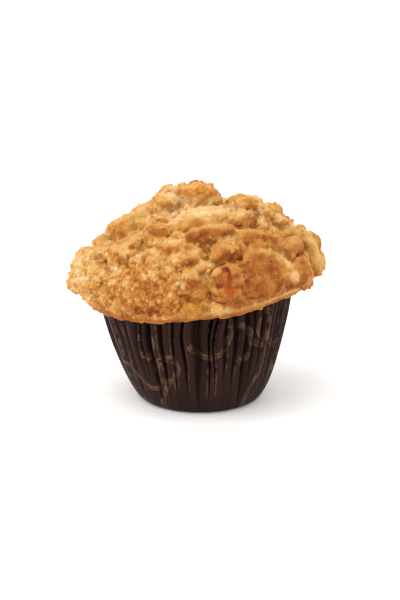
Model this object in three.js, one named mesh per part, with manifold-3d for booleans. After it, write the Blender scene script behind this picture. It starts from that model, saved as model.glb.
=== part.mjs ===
// Fruit crumble muffin in a pleated paper baking case.
//
// Units are millimetres and +Z is up. The origin is the centre of the case's flat foot, and the
// muffin's front faces -Y. Azimuths are degrees round Z, 0 at the front and growing towards +X.
// Every piece is first shaped upright and level, then the whole is leaned as the real one is:
// its rim sits to the left of its foot and is higher on the right.

import * as THREE from "three";
import { mergeVertices } from "three/addons/utils/BufferGeometryUtils.js";
import Module from "manifold-3d";

// Driving dimensions of the paper case.
const FOOT_RADIUS = 23.4; // flat part of the foot
const RIM_HEIGHT = 41; // crown's lower edge, mean of left and right
const RIM_RADIUS = 39; // outermost folds at that height
const WALL_POWER = 0.6; // below 1 the wall bellies out above the foot
const PAPER = 0.5; // wall, thick enough for a solid
const PLEATS = 48;
const PLEAT_DEPTH = 2.6; // fold to fold at the rim, fading to none at the foot
const PLEAT_DRIFT = 0.3; // share of a pleat by which a fold wanders sideways
const WALL_ROWS = [0, 0.06, 0.25, 0.5, 0.75, 1]; // where the wall bends, as shares of its height

// Driving dimensions of the cake.
const CLEARANCE = 0.35; // cake to paper, and cake to fruit
const RIM_TUCK = 0.9; // how far the paper's rim runs up inside the crown
const LIP_EASE = 0.2; // the crown's faceted lip stands this much further off the paper
const LIP = 1; // thickness of that lip at its lower edge
const CROWN_RADIUS = 46.5;
const UNDERSIDE_HEIGHT = 8.3; // crown's edge up to its widest ring
const DOME_HEIGHT = 28.5; // widest ring up to the bare dome's top
const DOME_POWER = 1.2; // above 1 the dome is more pointed than an ellipse
const UNDERSIDE_POWER = 1.5; // above 1 the underside is hollower than an ellipse
const CAKE_SIDES = 36;
const SWELL = 1.5; // low unevenness of the baked dome
const SUNK = 0.1; // lumps lie deeper than half by this share of their thickness

// Lean of the whole muffin.
const LEAN = -1.4; // rim's centre, sideways from the foot's
const TILT = 0.085; // rise of the rim for each mm to the right
const BULGE = { azimuth: 48, reach: 30, lift: 1.3 }; // where the rising cake pushed the rim up
const BULGE_FADE = [20, 42, 52]; // heights at which that lift starts, is full and has gone

// Lumps of crumble on the crown. Each has its azimuth and its rise, in degrees: rise is 0 on the widest
// ring and 90 at the top of the dome. Its size is across, up the slope and out of the surface, and
// lift moves it outwards from where it would lie half sunk.
const LUMPS = [
  { at: [-105, 76], size: [21, 17, 15], twist: 10, lift: 2 }, // left half of the top knob
  { at: [80, 84], size: [16, 15, 15], twist: -20, lift: 1.5 }, // right half of the top knob
  { at: [88, 60], size: [19, 15, 12], twist: 0, lift: 1.5 }, // right shoulder
  { at: [86, 48], size: [15, 14, 11], twist: 30, lift: 1 },
  { at: [84, 38], size: [12, 11, 9], twist: 0, lift: 0.5 },
  { at: [80, 28], size: [11, 9, 10], twist: 12, lift: 2 },
  { at: [86, 11], size: [14, 19, 10], twist: 6, boxy: true, lift: 0.5 }, // block over the right edge
  { at: [60, 8], size: [19, 15, 9], twist: 0, lift: 0 }, // round bulge under it
  { at: [31, 15], size: [28, 21, 6], twist: 0, lift: 0 }, // smooth lobe, low on the right
  { at: [15, 47], size: [26, 8, 8], twist: -6, lift: 0.5 }, // long ridge across the front
  { at: [10, 62], size: [26, 15, 7], twist: 0, lift: 0 },
  { at: [21, 35], size: [14, 9, 7], twist: 8, lift: 0.5 },
  { at: [43, 37], size: [17, 11, 7], twist: -14, lift: 0.5 },
  { at: [63, 24], size: [15, 11, 8], twist: 0, lift: 0 },
  { at: [53, 55], size: [13, 10, 7], twist: 15, boxy: true, lift: 0.5 },
  { at: [-2, 21], size: [7, 9, 5], twist: 10, lift: 0 },
  { at: [-49, 37], size: [17, 13, 6], twist: -12, lift: 0.5 },
  { at: [-86, 49], size: [14, 13, 9], twist: 0, lift: 2.1 },
  { at: [-98, 61], size: [16, 12, 9], twist: 20, lift: 1.6 },
  { at: [-74, 34], size: [13, 11, 7], twist: -10, lift: 0.5 },
  { at: [-33, 52], size: [16, 12, 7], twist: -8, lift: 0 },
  { at: [-14, 46], size: [9, 7, 5], twist: 0, lift: 0.5 },
  { at: [-4, 35], size: [14, 10, 6], twist: 4, lift: 0.5 },
  { at: [-26, 33], size: [14, 11, 5], twist: 20, lift: 0 },
  { at: [-88, 18], size: [15, 15, 9], twist: 0, lift: 1.5 },
  { at: [-85, 5], size: [13, 11, 9], twist: 0, lift: 1 }, // tip at the far left
  { at: [-62, 16], size: [17, 13, 6], twist: 10, lift: 0 },
  { at: [-30, 14], size: [15, 10, 4], twist: 0, lift: 0 },
];

// Lumps of the unseen half, spread evenly over a range of azimuth and rise.
const REAR_LUMPS = { count: 20, azimuth: [104, 258], rise: [4, 64], across: [12, 19], seed: 5 };

// Small crumbs: where they lie and how large they are across.
const CRUMB_FIELDS = [
  { count: 28, azimuth: [-86, -6], rise: [-6, 30], across: [3.4, 5.6], seed: 11 },
  { count: 9, azimuth: [-60, 80], rise: [30, 66], across: [3.6, 5], seed: 23 },
  { count: 12, azimuth: [95, 262], rise: [-4, 60], across: [3.8, 5.6], seed: 37 },
];

// Hollows between the lumps: places as for a lump, and how wide, tall and deep each is.
const HOLLOWS = [
  { at: [7, 40], size: [5, 6, 9] },
  { at: [22, 29], size: [7, 3.6, 5] },
  { at: [-52, 50], size: [8, 4, 6] },
  { at: [160, 40], size: [9, 5, 8] },
  { at: [-140, 28], size: [7, 5, 7] },
];

// Chunks of fruit that show, each half sunk in a pocket of the cake.
const FRUIT_CHUNKS = [
  { name: "fruit_chunk_red_skin", at: [15, 14], size: [9.8, 12.6, 8], twist: -8, out: 0.6 },
  { name: "fruit_chunk_amber", at: [-1, -11], size: [9.4, 4.8, 6], twist: 6, out: 0.2 },
  { name: "fruit_chunk_pale", at: [9.6, -12], size: [5.6, 4.2, 5.4], twist: -6, out: 0.3 },
  { name: "fruit_chunk_top", at: [48, 84], size: [13, 9, 7], twist: -44, out: 5.4 },
  { name: "fruit_chunk_rear_left", at: [-128, 20], size: [11, 9, 8], twist: 25, out: 1.6 },
  { name: "fruit_chunk_rear_right", at: [132, 8], size: [9, 12, 8], twist: -15, out: 1.5 },
  { name: "fruit_chunk_rear_high", at: [176, 52], size: [10, 8, 7], twist: 10, out: 1.8 },
];
const FRUIT_CORNER = 0.55; // power of the chunk's rounding: 1 is an ellipsoid, 0 a block

const COLOURS = {
  cake: { color: 0xcf8c4a, roughness: 0.85, metalness: 0 },
  paper: { color: 0x33241f, roughness: 0.5, metalness: 0 },
  fruit: { color: 0xd9963f, roughness: 0.45, metalness: 0 },
};

const wasm = await Module();
wasm.setup();

// Small tools -------------------------------------------------------------------------------

const radians = THREE.MathUtils.degToRad;
const { lerp, smoothstep } = THREE.MathUtils;

// A repeatable stream of numbers from 0 to 1.
function randomStream(seed) {
  let state = seed * 7919 + 1;
  return () => {
    state = (state * 16807) % 2147483647;
    return state / 2147483647;
  };
}

// A smooth unevenness from -1 to 1 with bumps about one unit wide.
function unevenness(p, seed) {
  const a = Math.sin(1.9 * p.x + 2.3 * p.y + 0.7 * p.z + seed);
  const b = Math.sin(-1.3 * p.x + 1.7 * p.z + 2.1 * seed) * Math.cos(2.6 * p.y - 0.9 * p.z + seed);
  const c = Math.sin(3.7 * p.z + 1.1 * p.y - 2.9 * p.x + 3.3 * seed);
  return (a + b + 0.5 * c) / 2.5;
}

// Moves every vertex of a geometry by a function that changes the vector it is given.
function reshape(geometry, move) {
  const position = geometry.getAttribute("position");
  const point = new THREE.Vector3();
  for (let i = 0; i < position.count; i++) {
    move(point.fromBufferAttribute(position, i));
    position.setXYZ(i, point.x, point.y, point.z);
  }
  return geometry;
}

// A three.js geometry as a solid that can be joined and cut. Faces that have no area, such as
// those at a lathe's poles, are dropped.
function solidFrom(geometry) {
  const bare = new THREE.BufferGeometry().setAttribute("position", geometry.getAttribute("position"));
  if (geometry.index) bare.setIndex(geometry.index);
  const merged = mergeVertices(bare, 1e-4);
  const corners = merged.index.array;
  const kept = [];
  for (let i = 0; i < corners.length; i += 3) {
    const [a, b, c] = corners.slice(i, i + 3);
    if (a !== b && b !== c && c !== a) kept.push(a, b, c);
  }
  const vertProperties = merged.getAttribute("position").array;
  return new wasm.Manifold(new wasm.Mesh({ numProp: 3, vertProperties, triVerts: new Uint32Array(kept) }));
}

// A solid as a three.js geometry.
function geometryFrom(solid) {
  const { vertProperties, triVerts } = solid.getMesh();
  return new THREE.BufferGeometry()
    .setAttribute("position", new THREE.BufferAttribute(vertProperties, 3))
    .setIndex(new THREE.BufferAttribute(triVerts, 1));
}

// A closed solid of revolution about +Z, from [radius, height] points that run from the bottom
// of the axis to its top.
function lathe(outline, sides) {
  const points = outline.map(([radius, height]) => new THREE.Vector2(radius, height));
  return new THREE.LatheGeometry(points, sides).rotateX(Math.PI / 2);
}

// Leans an upright point: sideways, and up in proportion to how far right it is. Round the bulge the
// rim and what is near it go up a little more.
function lean(point) {
  const sideways = (LEAN * point.z) / RIM_HEIGHT;
  const azimuth = THREE.MathUtils.radToDeg(Math.atan2(point.x, -point.y));
  const near = 1 - smoothstep(Math.abs(azimuth - BULGE.azimuth), 0, BULGE.reach);
  const [start, full, gone] = BULGE_FADE;
  const level = smoothstep(point.z, start, full) * (1 - smoothstep(point.z, full, gone));
  const bulge = BULGE.lift * near * level * smoothstep(Math.hypot(point.x, point.y), 0, RIM_RADIUS);
  point.z += TILT * point.x * smoothstep(point.z, 0, RIM_HEIGHT) + bulge;
  point.x += sideways;
}

// Shape of the paper case -------------------------------------------------------------------

const WALL_TOP = RIM_HEIGHT + RIM_TUCK;
const WALL_HEIGHTS = WALL_ROWS.map((share) => share * WALL_TOP);

// How far the wall has spread at a height: 0 at the foot and 1 at the rim.
function spreadAt(height) {
  return (Math.max(height, 0) / RIM_HEIGHT) ** WALL_POWER;
}

// Radius of the outermost folds at a height.
function wallRadius(height) {
  return FOOT_RADIUS + (RIM_RADIUS - FOOT_RADIUS) * spreadAt(height);
}

// Distance between the outer and inner folds at a height.
function pleatDepth(height) {
  return PLEAT_DEPTH * spreadAt(height);
}

// Turns the round wall into folds: every second vertex of a ring moves in, and each fold wanders
// a little sideways on its way up. Rings of the flat foot, inside FOOT_RADIUS, stay round.
function foldPleats(geometry) {
  const random = randomStream(3);
  const drift = Array.from({ length: 2 * PLEATS }, () => (random() - 0.5) * PLEAT_DRIFT);
  const depth = Array.from({ length: 2 * PLEATS }, () => lerp(0.55, 1, random()));
  const step = Math.PI / PLEATS;
  return reshape(geometry, (point) => {
    const radius = Math.hypot(point.x, point.y);
    if (radius <= FOOT_RADIUS) return;
    const angle = Math.atan2(point.y, point.x);
    const fold = (Math.round(angle / step) + 2 * PLEATS) % (2 * PLEATS);
    const climb = (radius - FOOT_RADIUS) / (RIM_RADIUS - FOOT_RADIUS);
    const inwards = fold % 2 ? pleatDepth(point.z) * depth[fold] : 0;
    const turned = angle + drift[fold] * step * climb;
    point.x = (radius - inwards) * Math.cos(turned);
    point.y = (radius - inwards) * Math.sin(turned);
  });
}

// The case: a flat foot and a pleated wall, both PAPER thick.
function caseGeometry() {
  const outer = WALL_HEIGHTS.map((z) => [wallRadius(z), z]);
  const inner = WALL_HEIGHTS.slice(1).map((z) => [wallRadius(z) - PAPER, z]);
  const innerFoot = [FOOT_RADIUS - PAPER, PAPER];
  return foldPleats(lathe([[0, 0], ...outer, ...inner.reverse(), innerFoot, [0, PAPER]], 2 * PLEATS));
}

// Shape of the cake -------------------------------------------------------------------------

// Radius of the cake inside the case at a height: it stays clear of the innermost folds.
function bodyRadius(height) {
  return wallRadius(height) - pleatDepth(height) - PAPER - CLEARANCE;
}

// A point of the bare crown's outline, [radius, height], at a rise from -90 to 90 degrees.
function crownOutline(rise) {
  const angle = radians(rise);
  const widest = RIM_HEIGHT + UNDERSIDE_HEIGHT;
  if (rise >= 0) {
    return [CROWN_RADIUS * Math.cos(angle) ** DOME_POWER, widest + DOME_HEIGHT * Math.sin(angle)];
  }
  const edge = wallRadius(WALL_TOP) + LIP;
  const spread = (CROWN_RADIUS - edge) * Math.cos(angle) ** UNDERSIDE_POWER;
  return [edge + spread, widest + UNDERSIDE_HEIGHT * Math.sin(angle)];
}

// The bare cake: the body in the case, the groove that takes the paper's rim, and the crown.
function cakeGeometry() {
  const bottom = PAPER + CLEARANCE;
  const ceiling = WALL_TOP + CLEARANCE;
  const lip = wallRadius(WALL_TOP) + CLEARANCE + LIP_EASE;
  const outline = [[0, bottom], [FOOT_RADIUS - 2 * CLEARANCE - PAPER, bottom]];
  for (const z of [...WALL_HEIGHTS.slice(1, -1), ceiling]) outline.push([bodyRadius(z), z]);
  outline.push([lip, ceiling], [lip, RIM_HEIGHT]);
  for (let rise = -75; rise < 90; rise += 15) outline.push(crownOutline(rise));
  outline.push([0, crownOutline(90)[1]]);
  return reshape(lathe(outline, CAKE_SIDES), (point) => {
    if (Math.hypot(point.x, point.y) <= lip + 0.1 && point.z <= ceiling + 0.1) return;
    const swell = 1 + (SWELL * unevenness(point.clone().multiplyScalar(0.14), 1)) / CROWN_RADIUS;
    point.x *= swell;
    point.y *= swell;
  });
}

// Turns and places a piece made about the origin: its x runs across the crown, its y up the
// slope and its z out of the surface. out is how far its centre stands off the bare crown.
function placeOnCrown(geometry, [azimuth, rise], twist, out) {
  const pointAt = (az, up) => {
    const [radius, height] = crownOutline(up);
    return new THREE.Vector3(radius * Math.sin(radians(az)), -radius * Math.cos(radians(az)), height);
  };
  const across = new THREE.Vector3(Math.cos(radians(azimuth)), Math.sin(radians(azimuth)), 0);
  const up = pointAt(azimuth, rise + 1).sub(pointAt(azimuth, rise - 1)).normalize();
  const outwards = new THREE.Vector3().crossVectors(across, up);
  const place = new THREE.Matrix4().makeBasis(across, up, outwards);
  place.setPosition(pointAt(azimuth, rise).addScaledVector(outwards, out));
  return geometry.applyMatrix4(new THREE.Matrix4().makeRotationZ(radians(twist))).applyMatrix4(place);
}

// A rounded piece of the given size. power 1 is an ellipsoid and towards 0 a block; rough is
// the share by which it is uneven.
function nuggetGeometry([across, tall, deep], { power, rough, detail, seed }) {
  const rounded = (value) => Math.sign(value) * Math.abs(value) ** power;
  return reshape(new THREE.IcosahedronGeometry(1, detail), (point) => {
    const uneven = 1 + rough * unevenness(point.clone().multiplyScalar(1.6), seed);
    point.set(rounded(point.x), rounded(point.y), rounded(point.z)).multiplyScalar(uneven);
    point.multiply(new THREE.Vector3(across / 2, tall / 2, deep / 2));
  });
}

// The named lumps of the front, each sunk by about half.
function frontLumps() {
  return LUMPS.map(({ at, size, twist, boxy, lift }, index) => {
    const large = Math.max(...size) > 18;
    const shape = { power: boxy ? 0.62 : 0.85, rough: 0.16, detail: large ? 2 : 1, seed: index + 1 };
    return placeOnCrown(nuggetGeometry(size, shape), at, twist, lift - SUNK * size[2]);
  });
}

// Pieces spread evenly over a field of the crown: two steps that never fall in with each other
// carry each piece on from the last, and chance moves it a little.
function scattered({ count, azimuth, rise, across, seed }, shape) {
  const random = randomStream(seed);
  const [stepRound, stepUp] = [0.7549, 0.5698];
  return Array.from({ length: count }, (_, index) => {
    const round = (index * stepRound + 0.12 * random()) % 1;
    const height = (index * stepUp + 0.12 * random()) % 1;
    const at = [lerp(...azimuth, round), lerp(...rise, height)];
    const width = lerp(...across, random());
    const size = [width, width * lerp(0.6, 1, random()), width * lerp(0.55, 0.8, random())];
    const nugget = nuggetGeometry(size, { ...shape, seed: seed + index });
    return placeOnCrown(nugget, at, 180 * random(), -SUNK * size[2]);
  });
}

// A chunk of fruit, grown by a margin on every side.
function fruitGeometry({ at, size, twist, out }, index, margin) {
  const grown = size.map((side) => side + 2 * margin);
  const detail = Math.abs(at[0]) < 100 ? 2 : 1;
  const shape = { power: FRUIT_CORNER, rough: 0.06, detail, seed: 40 + index };
  return placeOnCrown(nuggetGeometry(grown, shape), at, twist, out);
}

// The cake with its lumps and crumbs joined on, and its hollows and fruit pockets cut out.
function cakeSolid() {
  let cake = solidFrom(cakeGeometry());
  const crumb = { power: 0.85, rough: 0.12, detail: 0 };
  const joined = [
    ...frontLumps(),
    ...scattered(REAR_LUMPS, { power: 0.8, rough: 0.16, detail: 1 }),
    ...CRUMB_FIELDS.flatMap((field) => scattered(field, crumb)),
  ];
  for (const piece of joined) cake = cake.add(solidFrom(piece));
  const hollow = { power: 1, rough: 0.1, detail: 1, seed: 70 };
  for (const { at, size } of HOLLOWS) {
    cake = cake.subtract(solidFrom(placeOnCrown(nuggetGeometry(size, hollow), at, 0, 1)));
  }
  FRUIT_CHUNKS.forEach((chunk, index) => {
    cake = cake.subtract(solidFrom(fruitGeometry(chunk, index, CLEARANCE)));
  });
  const bodies = cake.decompose();
  return bodies.reduce((largest, body) => (body.volume() > largest.volume() ? body : largest));
}

// The object --------------------------------------------------------------------------------

function piece(name, geometry, finish) {
  const mesh = new THREE.Mesh(reshape(geometry, lean), new THREE.MeshStandardMaterial(finish));
  mesh.name = name;
  return mesh;
}

const muffin = new THREE.Group();
muffin.add(piece("paper_case", caseGeometry(), COLOURS.paper));
muffin.add(piece("muffin_cake", geometryFrom(cakeSolid()), COLOURS.cake));
FRUIT_CHUNKS.forEach((chunk, index) => {
  muffin.add(piece(chunk.name, fruitGeometry(chunk, index, 0), COLOURS.fruit));
});

export default muffin;
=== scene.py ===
"""Fruit crumble muffin in a pleated paper baking case: its looks, fitted over the CAD solids.

Lengths are worked out in millimetres and turned to metres when a piece is finished. Azimuths are
degrees round Z, 0 at the muffin's front (-Y) and growing towards +X. A rise is an angle seen from the
middle of the crown: 0 on its widest ring, 90 at the top of the dome and about -50 at its lower edge.
"""

from __future__ import annotations

import logging
import math
from collections.abc import Callable, Iterator, Sequence
from contextlib import contextmanager
from dataclasses import dataclass
from enum import Enum

import bpy
import numpy as np
from bpy.types import ColorRamp, Material, Mesh, Node, NodeSocket, NodeTree, Object
from mathutils import Euler, Matrix, Vector, noise
from mathutils.bvhtree import BVHTree
from mathutils.kdtree import KDTree


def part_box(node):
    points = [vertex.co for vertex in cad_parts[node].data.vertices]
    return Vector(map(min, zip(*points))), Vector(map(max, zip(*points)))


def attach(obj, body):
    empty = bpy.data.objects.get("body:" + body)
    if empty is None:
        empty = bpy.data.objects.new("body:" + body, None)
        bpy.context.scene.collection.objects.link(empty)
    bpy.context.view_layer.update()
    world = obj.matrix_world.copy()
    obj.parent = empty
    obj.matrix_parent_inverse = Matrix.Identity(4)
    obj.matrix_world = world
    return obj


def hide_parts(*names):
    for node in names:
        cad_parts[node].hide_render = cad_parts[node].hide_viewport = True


LOG = logging.getLogger("muffin")
MM = 0.001
NOISE_SEED = 4

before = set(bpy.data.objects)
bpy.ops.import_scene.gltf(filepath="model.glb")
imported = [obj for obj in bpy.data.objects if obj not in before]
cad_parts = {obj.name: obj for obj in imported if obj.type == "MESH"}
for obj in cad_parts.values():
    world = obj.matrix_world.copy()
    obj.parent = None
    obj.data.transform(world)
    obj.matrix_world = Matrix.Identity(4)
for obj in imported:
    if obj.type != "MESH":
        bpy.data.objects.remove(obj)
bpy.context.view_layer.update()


# Small tools ---------------------------------------------------------------------------------


def linear(code: str) -> tuple[float, ...]:
    """Turns an sRGB colour of six hex digits to linear red, green, blue and alpha."""
    channels = [int(code[i : i + 2], 16) / 255 for i in (0, 2, 4)]
    return *(c / 12.92 if c <= 0.04045 else ((c + 0.055) / 1.055) ** 2.4 for c in channels), 1.0


def add_node(tree: NodeTree, kind: str, inputs: dict | Sequence = (), **settings: object) -> Node:
    """Adds a node with its settings, and its inputs set or linked.

    Args:
        tree: The node tree that the node joins.
        kind: The node's type name.
        inputs: Values, or sockets to link from, by input name or index, or in the inputs' own order.
        **settings: Attributes of the node itself.

    Returns:
        The new node.
    """
    node = tree.nodes.new(kind)
    for name, value in settings.items():
        setattr(node, name, value)
    for key, value in inputs.items() if isinstance(inputs, dict) else enumerate(inputs):
        if isinstance(value, NodeSocket):
            tree.links.new(value, node.inputs[key])
        else:
            node.inputs[key].default_value = value
    return node


def new_material(name: str, *attributes: str) -> tuple[Material, NodeTree, NodeSocket, list[NodeSocket]]:
    """Makes a node material without its shader.

    Args:
        name: The material's name.
        *attributes: The mesh's attributes that it reads.

    Returns:
        The material, its node tree, the place on the object and the value of each attribute.
    """
    made = bpy.data.materials.new(name)
    made.use_nodes = True
    tree = made.node_tree
    tree.nodes.clear()
    place = add_node(tree, "ShaderNodeTexCoord").outputs["Object"]
    read = [add_node(tree, "ShaderNodeAttribute", attribute_name=a).outputs["Fac"] for a in attributes]
    return made, tree, place, read


def grain(place: NodeSocket, size_mm: float, detail: float, rough: float) -> dict[str, object]:
    """Gives the inputs of a noise whose features are about this many millimetres wide."""
    return {"Vector": place, "Scale": 1 / (size_mm * MM), "Detail": detail, "Roughness": rough}


def close_material(
    tree: NodeTree, colour: NodeSocket, relief: dict[str, object], bump: tuple[float, float], **shader: object
) -> None:
    """Ends a material with its fine relief and its shader.

    Args:
        tree: The material's node tree.
        colour: The surface's colour.
        relief: The inputs of the noise that is too fine for the mesh.
        bump: How strong the relief looks, and how deep it is in metres.
        **shader: The other values of the shader, with underscores for spaces in their names.
    """
    height = add_node(tree, "ShaderNodeTexNoise", relief).outputs["Fac"]
    strength, distance = bump
    raised = add_node(
        tree, "ShaderNodeBump", {"Height": height, "Strength": strength, "Distance": distance}
    )
    values = {name.replace("_", " "): value for name, value in shader.items()}
    values |= {"Base Color": colour, "Normal": raised.outputs["Normal"]}
    surface = add_node(tree, "ShaderNodeBsdfPrincipled", values)
    add_node(tree, "ShaderNodeOutputMaterial", {"Surface": surface.outputs[0]})


def set_stops(ramp: ColorRamp, stops: Sequence[tuple[float, str]]) -> None:
    """Gives a colour ramp these stops, each a position and an sRGB hex colour.

    Args:
        ramp: The colour ramp.
        stops: The position and the colour of each stop.
    """
    while len(ramp.elements) < len(stops):
        ramp.elements.new(0.5)
    for element, (position, code) in zip(ramp.elements, stops):
        element.position = position
        element.color = linear(code)


def only(obj: Object) -> None:
    """Makes an object the only selected one, and the active one.

    Args:
        obj: The object.
    """
    bpy.ops.object.select_all(action="DESELECT")
    obj.select_set(True)
    bpy.context.view_layer.objects.active = obj


@contextmanager
def edit_mode(obj: Object, chosen: slice = slice(None)) -> Iterator[None]:
    """Opens an object in edit mode while the block under it runs.

    Args:
        obj: The object.
        chosen: Which of its vertices are selected, all by default.

    Yields:
        Nothing.
    """
    only(obj)
    bpy.ops.object.mode_set(mode="EDIT")
    bpy.ops.mesh.select_mode(type="VERT")
    bpy.ops.mesh.select_all(action="DESELECT")
    bpy.ops.object.mode_set(mode="OBJECT")
    for vertex in obj.data.vertices[chosen]:
        vertex.select = True
    bpy.ops.object.mode_set(mode="EDIT")
    yield
    bpy.ops.object.mode_set(mode="OBJECT")


def primitive(kind: str, name: str, **settings: object) -> Object:
    """Adds a mesh primitive by its operator, with nothing else selected.

    Args:
        kind: The primitive's name in its operator.
        name: The new object's name.
        **settings: The operator's settings.

    Returns:
        The new object.
    """
    bpy.ops.object.select_all(action="DESELECT")
    getattr(bpy.ops.mesh, f"primitive_{kind}_add")(**settings)
    made = bpy.context.active_object
    made.name = name
    return made


def smoothstep(low: float, high: float, value: np.ndarray) -> np.ndarray:
    """Goes smoothly from 0 at low to 1 at high, and works either way round."""
    t = np.clip((value - low) / (high - low), 0, 1)
    return t * t * (3 - 2 * t)


def unit(vector: np.ndarray) -> np.ndarray:
    """Scales a vector, or each row of an array, to length 1."""
    return vector / np.maximum(np.linalg.norm(vector, axis=-1, keepdims=True), 1e-9)


def points_of(mesh: Mesh, what: str = "co") -> np.ndarray:
    """Reads a mesh's vertices, or another vector of theirs, as an array with a row for each.

    Args:
        mesh: The mesh.
        what: The vector's name.

    Returns:
        A row of three numbers per vertex.
    """
    flat = np.empty(len(mesh.vertices) * 3, np.float32)
    mesh.vertices.foreach_get(what, flat)
    return flat.reshape(-1, 3).astype(float)


def surface_of(mesh: Mesh) -> tuple[np.ndarray, np.ndarray]:
    """Reads a mesh's vertices and their normals."""
    return points_of(mesh), points_of(mesh, "normal")


def move_points(mesh: Mesh, points: np.ndarray) -> None:
    """Writes an array of points back to a mesh's vertices."""
    mesh.vertices.foreach_set("co", points.astype(np.float32).ravel())
    mesh.update()


def write_attributes(mesh: Mesh, **values: np.ndarray) -> None:
    """Stores a number, or a vector, for each vertex under each name, for the materials to read.

    Args:
        mesh: The mesh.
        **values: An array with a row for each vertex, by name.
    """
    for name, rows in values.items():
        kind, key = ("FLOAT", "value") if rows.ndim == 1 else ("FLOAT_VECTOR", "vector")
        mesh.attributes.new(name, kind, "POINT").data.foreach_set(key, rows.astype(np.float32).ravel())


def sampled(points: np.ndarray, sample: Callable[[Vector], float | Vector]) -> np.ndarray:
    """Calls a noise function at every point and returns its values."""
    return np.array([sample(Vector(point)) for point in points])


def linked(name: str, mesh: Mesh) -> Object:
    """Makes an object for a mesh and links it to the scene.

    Args:
        name: The object's name.
        mesh: Its mesh or other data.

    Returns:
        The new object.
    """
    made = bpy.data.objects.new(name, mesh)
    bpy.context.scene.collection.objects.link(made)
    return made


def mesh_object(name: str, points: Sequence[np.ndarray], faces: Sequence[np.ndarray]) -> Object:
    """Makes one object from the points and faces of its lumps, the faces counted within each lump.

    Args:
        name: The object's name.
        points: The points of each lump.
        faces: The faces of each lump, counted from its own first point.

    Returns:
        The new object.
    """
    mesh = bpy.data.meshes.new(name)
    starts = np.cumsum([0] + [len(lump) for lump in points[:-1]])
    corners = np.concatenate([lump + start for lump, start in zip(faces, starts)])
    mesh.from_pydata(np.concatenate(points).tolist(), [], corners.tolist())
    mesh.update()
    return linked(name, mesh)


def apply_modifier(obj: Object, kind: str, **settings: object) -> None:
    """Adds a modifier with its settings and applies it.

    Args:
        obj: The object.
        kind: The modifier's type name.
        **settings: Its settings.
    """
    only(obj)
    modifier = obj.modifiers.new(kind.title(), kind)
    for name, value in settings.items():
        setattr(modifier, name, value)
    bpy.ops.object.modifier_apply(modifier=modifier.name)


def joined(objects: Sequence[Object], name: str) -> Object:
    """Joins objects into the first one and names it.

    Args:
        objects: The objects, the one that stays first.
        name: Its new name.

    Returns:
        The first object.
    """
    only(objects[0])
    for obj in objects[1:]:
        obj.select_set(True)
    bpy.ops.object.join()
    objects[0].name = objects[0].data.name = name
    return objects[0]


def copy_of_node(node: str, name: str, merge_mm: float = 0.002) -> Object:
    """Copies a CAD node as one connected mesh, in millimetres.

    Args:
        node: The CAD node's name.
        name: The copy's name.
        merge_mm: How near two points lie that are made one.

    Returns:
        The copy, with its own mesh.
    """
    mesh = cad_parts[node].data.copy()
    mesh.name = name
    mesh.materials.clear()
    mesh.transform(Matrix.Scale(1 / MM, 4))
    made = linked(name, mesh)
    with edit_mode(made):
        bpy.ops.mesh.remove_doubles(threshold=merge_mm)
    return made


def ball_template(subdivisions: int) -> tuple[np.ndarray, np.ndarray]:
    """Makes a ball of radius 1 and returns its points and its triangles.

    Args:
        subdivisions: How fine the ball is.

    Returns:
        The points, and three of their numbers for each triangle.
    """
    ball = primitive("ico_sphere", "template", subdivisions=subdivisions, radius=1)
    points = points_of(ball.data)
    faces = np.array([list(polygon.vertices) for polygon in ball.data.polygons])
    bpy.data.objects.remove(ball)
    return points, faces


def finish_piece(obj: Object, node: str, slot: str, material: Material) -> None:
    """Turns a piece to metres, gives it its material and fits it to the frame.

    Args:
        obj: The piece, in millimetres.
        node: The CAD node that it stands for.
        slot: The record's material slot; not used.
        material: The piece's material.
    """
    obj.data.transform(Matrix.Scale(MM, 4))
    obj.data.update()
    obj.data.materials.clear()
    obj.data.materials.append(material)
    only(obj)
    bpy.ops.object.shade_smooth()
    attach(obj, "root")
    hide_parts(node)
    LOG.info("%s: %d faces", obj.name, len(obj.data.polygons))


# Form ----------------------------------------------------------------------------------------


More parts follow.
